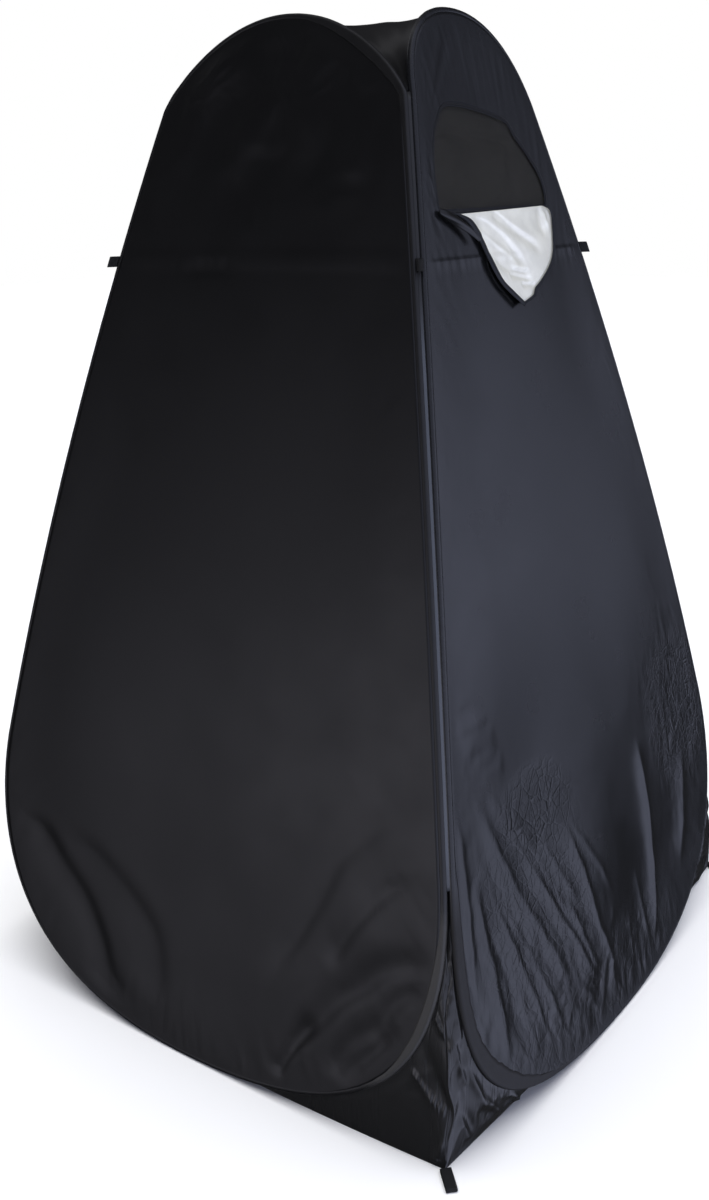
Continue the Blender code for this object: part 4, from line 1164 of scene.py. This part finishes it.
class Socket:
    """A shader socket that works in sums: each operator adds a Math node."""

    def __init__(self, paint, socket):
        self.paint, self.socket = paint, socket

    __add__, __radd__ = maths("ADD"), maths("ADD", True)
    __sub__, __rsub__ = maths("SUBTRACT"), maths("SUBTRACT", True)
    __mul__, __rmul__ = maths("MULTIPLY"), maths("MULTIPLY", True)
    __truediv__, __abs__, __lt__ = maths("DIVIDE"), maths("ABSOLUTE"), maths("LESS_THAN")
    sin, fraction = maths("SINE"), maths("FRACT")

    def step(self, low, high):
        """Smooth step from 0 at low to 1 at high."""
        inputs = {"Value": self, "From Min": low, "From Max": high}
        return self.paint.node("ShaderNodeMapRange", {"interpolation_type": "SMOOTHSTEP"}, inputs)


class NodeTree:
    """A node tree being made: one method adds each node."""

    def __init__(self, tree):
        self.tree = tree

    def node(self, kind, settings=None, inputs=None, output=0):
        """Adds a node: its settings first, a ramp's stops among them, then its sockets."""
        made = self.tree.nodes.new(kind)
        for key, value in (settings or {}).items():
            if key == "stops":
                elements = made.color_ramp.elements
                for stop, (place, colour) in enumerate(value):
                    element = elements[stop] if stop < len(elements) else elements.new(place)
                    element.position = place
                    element.color = (*colour, 1)
            else:
                setattr(made, key, value)
        for key, value in (inputs or {}).items():
            if isinstance(value, Socket):
                self.tree.links.new(value.socket, made.inputs[key])
            else:
                made.inputs[key].default_value = value
        return Socket(self, made.outputs[output])

    def split(self, vector):
        """The three parts of a vector."""
        made = self.node("ShaderNodeSeparateXYZ", None, {0: vector})
        return [Socket(self, part) for part in made.socket.node.outputs]


class Paint(NodeTree):
    """A Principled material being made; constants are set on the shader's own sockets."""

    def __init__(self, name, constants):
        self.material = bpy.data.materials.new(name)
        self.material.use_nodes = True
        super().__init__(self.material.node_tree)
        self.shader = self.tree.nodes["Principled BSDF"]
        for socket, value in constants.items():
            self.feed(socket, value)

    def feed(self, socket, value):
        """Drives one of the shader's sockets by a socket, or sets it to a number."""
        if isinstance(value, Socket):
            self.tree.links.new(value.socket, self.shader.inputs[socket])
        else:
            self.shader.inputs[socket].default_value = value

    def own_uv(self):
        """The piece's own coordinates, as they are stored."""
        return self.node("ShaderNodeUVMap", {"uv_map": "cloth"})

    def cloth_place(self):
        """The piece's own cloth coordinates, in metres."""
        inputs = {0: self.own_uv(), "Scale": UV_SPAN}
        return self.node("ShaderNodeVectorMath", {"operation": "SCALE"}, inputs)

    def object_place(self):
        """Places in the piece's own frame, in metres."""
        return self.node("ShaderNodeTexCoord", None, None, "Object")

    def cloud(self, place, scale, detail=4.0, ridged=False):
        """Noise, about 0 to 1; ridged noise has creases."""
        settings = {"noise_type": "RIDGED_MULTIFRACTAL"} if ridged else {}
        inputs = {"Vector": place, "Scale": scale, "Detail": detail}
        return self.node("ShaderNodeTexNoise", settings, inputs)

    def crinkles(self, place, scale):
        """Straight creases that meet as a web, with flat cloth between them: 0 on a crease to 1."""
        place = self.node("ShaderNodeVectorMath", {"operation": "MULTIPLY"}, {0: place, 1: WEB_STRETCH})
        inputs = {"Vector": place, "Scale": scale}
        return self.node("ShaderNodeTexVoronoi", {"feature": "DISTANCE_TO_EDGE"}, inputs).step(0.0, 0.07)

    def blend(self, low, high, share):
        """A colour between two, by share."""
        return self.node("ShaderNodeValToRGB", {"stops": ((0.0, low), (1.0, high))}, {0: share})

    def spotted(self, colour, low, high, share):
        """A colour made darker by low and lighter by high."""
        return self.blend([c * low for c in colour], [c * high for c in colour], share)

    def finish(self, colour, roughness, height):
        """The material, with its colour, its roughness and a bump of that height in millimetres."""
        self.feed("Base Color", colour)
        self.feed("Roughness", roughness)
        inputs = {"Strength": 1.0, "Distance": 0.001, "Height": height}
        self.feed("Normal", self.node("ShaderNodeBump", None, inputs))
        return self.material


def around(value, share, spread=0.2):
    """A value that a share from 0 to 1 moves down and up by half of spread."""
    return share * spread + (value - spread / 2)


def weave(x, y, phase):
    """Threads both ways, -1 to 1: the product of a sine of x and one of y, phase radians a metre."""
    return (x * phase).sin() * (y * phase).sin()


def stitches(across, along, count):
    """1 on the threads of a row of stitches beside a tape's edge, count of them along it."""
    return ((along * count).fraction() < STITCH_SHARE) * (abs(across - STITCH_ROW) < STITCH_HALF)


def cloth_paint(name, dark, light, roughness, crinkle, crinkled=()):
    """Coated polyester: plain weave, mottled dye, fine creases in its coating, sharper ones in places."""
    paint = Paint(name, {"Specular IOR Level": 0.5})
    place = paint.cloth_place()
    x, y, _ = paint.split(place)
    dye = paint.cloud(place, 2.5, 5.0) * 0.75 + paint.cloud(place, 34.0) * 0.35 - 0.05
    gloss = around(roughness, paint.cloud(place, 9.0), 0.16)
    height = weave(x, y, WEAVE) * 0.01 + paint.cloud(place, 16.0, ridged=True) * crinkle
    height = height + paint.cloud(place, 30.0, 2.0) * (crinkle * 0.8)
    for s, z, reach, rise, strength in crinkled:
        across, up = (x - (s + 1)) / reach, (y - z) / rise
        inside = 1 - (across * across + up * up).step(0.1, 1.0)
        web = paint.crinkles(place, 33.0) + paint.crinkles(place, 61.0) * 0.7
        height = height + inside * strength * web * 0.55
    return paint.finish(paint.blend(dark, light, dye), gloss, height)


def lining_paint(name, colour, roughness, metallic):
    """Silver coating on the cloth's back: metallic film with fine creases."""
    paint = Paint(name, {"Metallic": metallic})
    place = paint.cloth_place()
    x, y, _ = paint.split(place)
    shade = paint.spotted(colour, 0.86, 1, paint.cloud(place, 22.0, 5.0).step(0.3, 0.7))
    height = weave(x, y, WEAVE) * 0.012 + paint.cloud(place, 28.0, 5.0, ridged=True) * 0.16
    return paint.finish(shade, around(roughness, paint.cloud(place, 30.0)), height)


def tape_paint(name, dark, light, roughness, ribs, count):
    """Woven tape read along its own length: ribs across it, and a row of stitches beside one edge."""
    paint = Paint(name, {"Specular IOR Level": 0.4})
    uv = paint.own_uv()
    across, along, _ = paint.split(uv)
    mottle, thread = paint.cloud(uv, 60.0), stitches(across, along, count)
    colour = paint.blend(dark, light, mottle * 0.8 + thread * 0.8)
    rib = (along * ribs).sin() * 0.5 + (across * 900.0).sin() * 0.25
    return paint.finish(colour, around(roughness, mottle), rib * 0.06 + thread * 0.35 + mottle * 0.4)


def sleeve_paint(name, far, near, centre, reach):
    """Sleeve in the wall's own cloth: one (colour, roughness) far from a place, another round it. For the
    front sleeve and the corner seams, the pale colour round the place is a painted highlight.
    """
    paint = Paint(name, {"Specular IOR Level": 0.5})
    place = paint.object_place()
    away = paint.node("ShaderNodeVectorMath", {"operation": "DISTANCE"}, {0: place, 1: centre}, "Value")
    grain = paint.cloud(place, 60.0)
    share = 1 - (away + grain * 0.04).step(reach * 0.75, reach)
    # Round the place, the front sleeve's and the corner seams' pale colour is a painted highlight
    colour = paint.blend(far[0], near[0], share * 0.9 + grain * 0.1)
    gloss = share * (near[1] - far[1]) + grain * 0.1 + (far[1] - 0.05)
    across, along, _ = paint.split(paint.own_uv())
    height = grain * 0.3 + stitches(across, along, SLEEVE_STITCHES) * 0.25
    return paint.finish(colour, gloss, height)


def webbing_paint(name, dark, light):
    """Woven webbing: herringbone ribs along and across the strap."""
    paint = Paint(name, {"Specular IOR Level": 0.35})
    uv = paint.own_uv()
    along, across, _ = paint.split(uv)
    rib = (along * 320.0 + (across * 95.0).sin() * 1.4).sin()
    fuzz = paint.cloud(uv, 90.0)
    colour = paint.blend(dark, light, fuzz * 0.7 + rib * 0.2)
    return paint.finish(colour, fuzz * 0.15 + 0.70, rib * 0.30 + fuzz * 0.25)


def net_paint(name, colour):
    """Fine net: round holes in straight rows, where the product of two sines is large."""
    paint = Paint(name, {"Specular IOR Level": 0.2})
    place = paint.cloth_place()
    x, y, _ = paint.split(place)
    holes = abs(weave(x, y, NET))
    paint.feed("Alpha", 1 - holes.step(0.42, 0.62) * 0.85)
    shade = paint.cloud(place, 14.0)
    return paint.finish(paint.spotted(colour, 0.8, 1.2, shade), 0.8, holes * -0.2 + shade * 0.5)


def plain_paint(name, colour, roughness, metallic, grain):
    """Moulded or painted trim: small spots in its gloss and a fine grain."""
    paint = Paint(name, {"Metallic": metallic})
    speckle = paint.cloud(paint.object_place(), grain)
    shade = paint.spotted(colour, 0.75, 1.2, speckle)
    return paint.finish(shade, around(roughness, speckle), speckle * 0.1)


# Crinkled places of the window wall's coating: centre (s, z), reach sideways and up, strength
WINDOW_CRINKLES = (
    (0.40, 0.50, 0.20, 0.20, 1.0),
    (-0.25, 0.54, 0.15, 0.09, 0.8),
    (-0.30, 0.34, 0.26, 0.30, 0.5),
    (-0.10, 0.10, 0.45, 0.14, 0.4),
)
GUSSET_CRINKLES = ((1.0, 0.2, 9.0, 9.0, 0.5),)
# How the coating's web of creases is stretched, and the radians a metre of the weave and of the net
WEB_STRETCH = (1.0, 0.85, 1.0)
WEAVE, NET = 2 * math.pi / 0.0009, 2 * math.pi / 0.0032
# A stitch row's place across its tape and half width, a thread's share of its stitch, and the stitches
# along a sleeve
STITCH_ROW, STITCH_HALF, STITCH_SHARE, SLEEVE_STITCHES = 0.0935, 0.0012, 0.62, 1300.0

BLACK_CLOTH = cloth_paint("black_cloth", (0.0022, 0.0022, 0.0025), (0.0034, 0.0034, 0.0038), 0.36, 0.10)
BLUE_CLOTH = cloth_paint("blue_black_cloth", (0.0040, 0.0043, 0.0052), (0.0056, 0.0060, 0.0074),
                         0.25, 0.06, WINDOW_CRINKLES)
GUSSET_CLOTH = cloth_paint("gusset_cloth", (0.0090, 0.0090, 0.0092), (0.0120, 0.0120, 0.0124),
                           0.27, 0.10, GUSSET_CRINKLES)
LINING = lining_paint("silver_lining", (0.98, 0.975, 0.87), 0.38, 0.46)
SLEEVE_PAINT = tape_paint("sleeve", (0.0085, 0.0085, 0.0090), (0.0150, 0.0150, 0.0155),
                          0.42, 8000.0, SLEEVE_STITCHES)
# The front sleeve is dull near the low split, with a painted highlight in its pale colour there; the
# window's is dull by its foot; and the corner seams are glossy, with a painted bluish highlight, between
# the guy loops and the low split
FRONT_SLEEVE_WITH_PAINTED_HIGHLIGHT = sleeve_paint("front_sleeve_with_painted_highlight", ((0.0040, 0.0040, 0.0044), 0.42),
                            ((0.0320, 0.0310, 0.0300), 0.50), (0.555, -0.605, 0.285), 0.24)
BLUE_SLEEVE = sleeve_paint("blue_sleeve", ((0.0050, 0.0054, 0.0066), 0.27),
                           ((0.0085, 0.0078, 0.0076), 0.66), (0.62, -0.46, 0.20), 0.36)
# Corner seams: the pale bluish colour round the front right corner's middle is a painted highlight
CORNER_TAPE_WITH_PAINTED_HIGHLIGHT = sleeve_paint("corner_tape_with_painted_highlight", ((0.0085, 0.0085, 0.0090), 0.42),
                           ((0.055, 0.062, 0.078), 0.30), (0.42, -0.39, 0.93), 0.56)
TAPE = tape_paint("edge_tape", (0.0034, 0.0039, 0.0058), (0.0075, 0.0088, 0.0132), 0.50, 3200.0, 260.0)
WEBBING_PAINT = webbing_paint("webbing", (0.0080, 0.0080, 0.0085), (0.0200, 0.0200, 0.0210))
NET_PAINT = net_paint("window_net", (0.022, 0.021, 0.020))
COIL = plain_paint("zip_coil", (0.012, 0.012, 0.013), 0.38, 0.0, 900.0)
SLIDER_METAL = plain_paint("slider_metal", (0.05, 0.05, 0.055), 0.35, 0.8, 700.0)


def build():
    """All pieces of the tent."""
    front, window, back, side = (WALLS[name] for name in ("front", "window", "back", "side"))
    for seed, (name, wall) in enumerate(WALLS.items()):
        paint = {"front": FRONT_SLEEVE_WITH_PAINTED_HIGHLIGHT, "window": BLUE_SLEEVE}.get(name, SLEEVE_PAINT)
        add_sleeve(wall, 200 + 20 * seed, WIDE_EDGES[name], paint)
    wall_sheet("front_wall_cloth", front, FRONT_COLUMNS, front_folds, "front_wall", (1.14, 2.05), 1.68,
               "black_cloth", BLACK_CLOTH, LINING)
    wall_sheet("side_wall_cloth", side, SIDE_COLUMNS, hidden_folds(side, 300), "side_wall",
               (1.11, 2.05), 1.58, "black_cloth", BLACK_CLOTH, LINING)
    window_wall(window, window_folds, BLUE_CLOTH, LINING)
    add_net(window, NET_PAINT)
    rim = window_rim(HEM_STEPS)
    carried_band("window_hem", window, rim, CLOTH_LIFT - HEM_DEPTH, HEM_HALF, WEBBING_THICK,
                 TAPE, "window_binding")
    add_teeth("window_zip_coil", window, rim, CLOTH_LIFT - COIL_DEPTH, COIL)
    add_flap(window, LINING, BLUE_CLOTH, TAPE)
    add_flap_fold(window, BLACK_CLOTH)
    add_door(back, hidden_folds(back, 400), BLACK_CLOTH, LINING, TAPE, COIL, SLIDER_METAL)
    add_roof(BLACK_CLOTH, LINING)
    for seed, (corner, (first, second, sign, reach, seat)) in enumerate(CORNERS.items()):
        walls, ground = (WALLS[first], WALLS[second]), np.array(sign) * reach
        near = corner == "front_right"
        add_gusset(corner + "_gusset_cloth", *walls, ground, near, 500 + 10 * seed, GUSSET_CLOTH, LINING)
        add_guy_loop(corner, *walls, sign, WEBBING_PAINT)
        add_corner_seam(corner, *walls, sign, CORNER_TAPE_WITH_PAINTED_HIGHLIGHT)
        add_peg_loop(corner, ground, seat, WEBBING_PAINT)


# Camera solved from the photograph: place, viewing directions, focal length in frame heights
CAMERA_PLACE = (1.5205, -2.0515, 1.6043)
CAMERA_RIGHT = (0.80574, 0.59157, -0.02864)
CAMERA_UP = (-0.16294, 0.26790, 0.94957)
CAMERA_FORWARD = (-0.56941, 0.76044, -0.31225)
FOCAL_IN_HEIGHTS = 1232.2 / 1200
SENSOR = 36.0


def add_camera():
    """Camera at the photograph's place, its axes given as the columns of its turn."""
    camera = bpy.data.objects.new("camera", bpy.data.cameras.new("camera"))
    bpy.context.scene.collection.objects.link(camera)
    columns = Matrix((CAMERA_RIGHT, CAMERA_UP, [-c for c in CAMERA_FORWARD])).transposed()
    camera.matrix_world = Matrix.Translation(CAMERA_PLACE) @ columns.to_4x4()
    camera.data.sensor_fit = "AUTO"
    camera.data.sensor_width = SENSOR
    camera.data.lens = FOCAL_IN_HEIGHTS * SENSOR
    bpy.context.scene.camera = camera


# Floor, overhead light and the world's base colour
FLOOR_SIZE, FLOOR_COLOUR = 40, (0.92, 0.92, 0.92, 1)
OVERHEAD_POWER, OVERHEAD_SPREAD = 3.2, 70
WORLD_BASE = (0.034, 0.034, 0.036)
# Edges in degrees, from and to, that every ray is past and that none reaches; where rays count as low
PASSED, NEVER, LOW_EDGE = (-999, -998), (998, 999), (-16, -6)
# Panels of the studio: colour; azimuths where it starts and ends; how much sooner it ends for low rays;
# elevations where it starts and where it fades; the share that goes there
PANELS = (
    ((0.97, 1.04, 1.40), (-85, -55), (50, 69), 11, (-75, -40), (2, 22), 0.58),
    ((1.46, 1.44, 1.66), (-141, -115), (-100, -80), 0, (-20, -13), (-8, 24), 1.0),
    ((0.30, 0.30, 0.32), (132, 168), NEVER, 0, (-50, -10), NEVER, 0),
    ((0.25, 0.25, 0.26), PASSED, NEVER, 0, (45, 80), NEVER, 0),
)


def add_stage():
    """Plain pale floor, an overhead soft light, and a world with the studio's soft panels.

    Camera rays see a plain white world. All other rays see a base plus each panel's colour times its
    share, worked out from the ray's azimuth (from +X towards +Y) and elevation, both in degrees.
    """
    bpy.ops.mesh.primitive_plane_add(size=FLOOR_SIZE)
    floor = bpy.context.object
    floor.name = "floor"
    paint = Paint("floor", {"Base Color": FLOOR_COLOUR, "Roughness": 0.9, "Specular IOR Level": 0.0})
    floor.data.materials.append(paint.material)
    floor.visible_glossy = False

    lamp = bpy.data.lights.new("overhead", "SUN")
    lamp.energy, lamp.angle = OVERHEAD_POWER, math.radians(OVERHEAD_SPREAD)
    overhead = bpy.data.objects.new("overhead", lamp)
    overhead.visible_glossy = False
    bpy.context.scene.collection.objects.link(overhead)

    world = bpy.data.worlds.new("studio")
    bpy.context.scene.world = world
    world.use_nodes = True
    tree = NodeTree(world.node_tree)
    x, y, z = tree.split(tree.node("ShaderNodeTexCoord"))
    azimuth = tree.node("ShaderNodeMath", {"operation": "ARCTAN2"}, {0: y, 1: x}) * math.degrees(1)
    elevation = tree.node("ShaderNodeMath", {"operation": "ARCSINE"}, {0: z}) * math.degrees(1)
    low = 1 - elevation.step(*LOW_EDGE)
    total = tree.node("ShaderNodeCombineColor", None, dict(enumerate(WORLD_BASE)))
    for colour, start, end, sooner, lower, upper, fade in PANELS:
        share = azimuth.step(*start) * (1 - (azimuth + low * sooner).step(*end))
        share = share * elevation.step(*lower) * (1 - elevation.step(*upper) * fade)
        glow = tree.node("ShaderNodeVectorMath", {"operation": "SCALE"}, {0: colour, "Scale": share})
        total = tree.node("ShaderNodeVectorMath", {"operation": "ADD"}, {0: total, 1: glow})
    seen = tree.node("ShaderNodeLightPath", None, None, "Is Camera Ray")
    shown = tree.node("ShaderNodeMix", {"data_type": "RGBA"}, {0: seen, 6: total, 7: (1, 1, 1, 1)}, 2)
    tree.tree.links.new(shown.socket, world.node_tree.nodes["Background"].inputs["Color"])


build()
add_camera()
add_stage()
bpy.context.scene.view_settings.view_transform = "Standard"
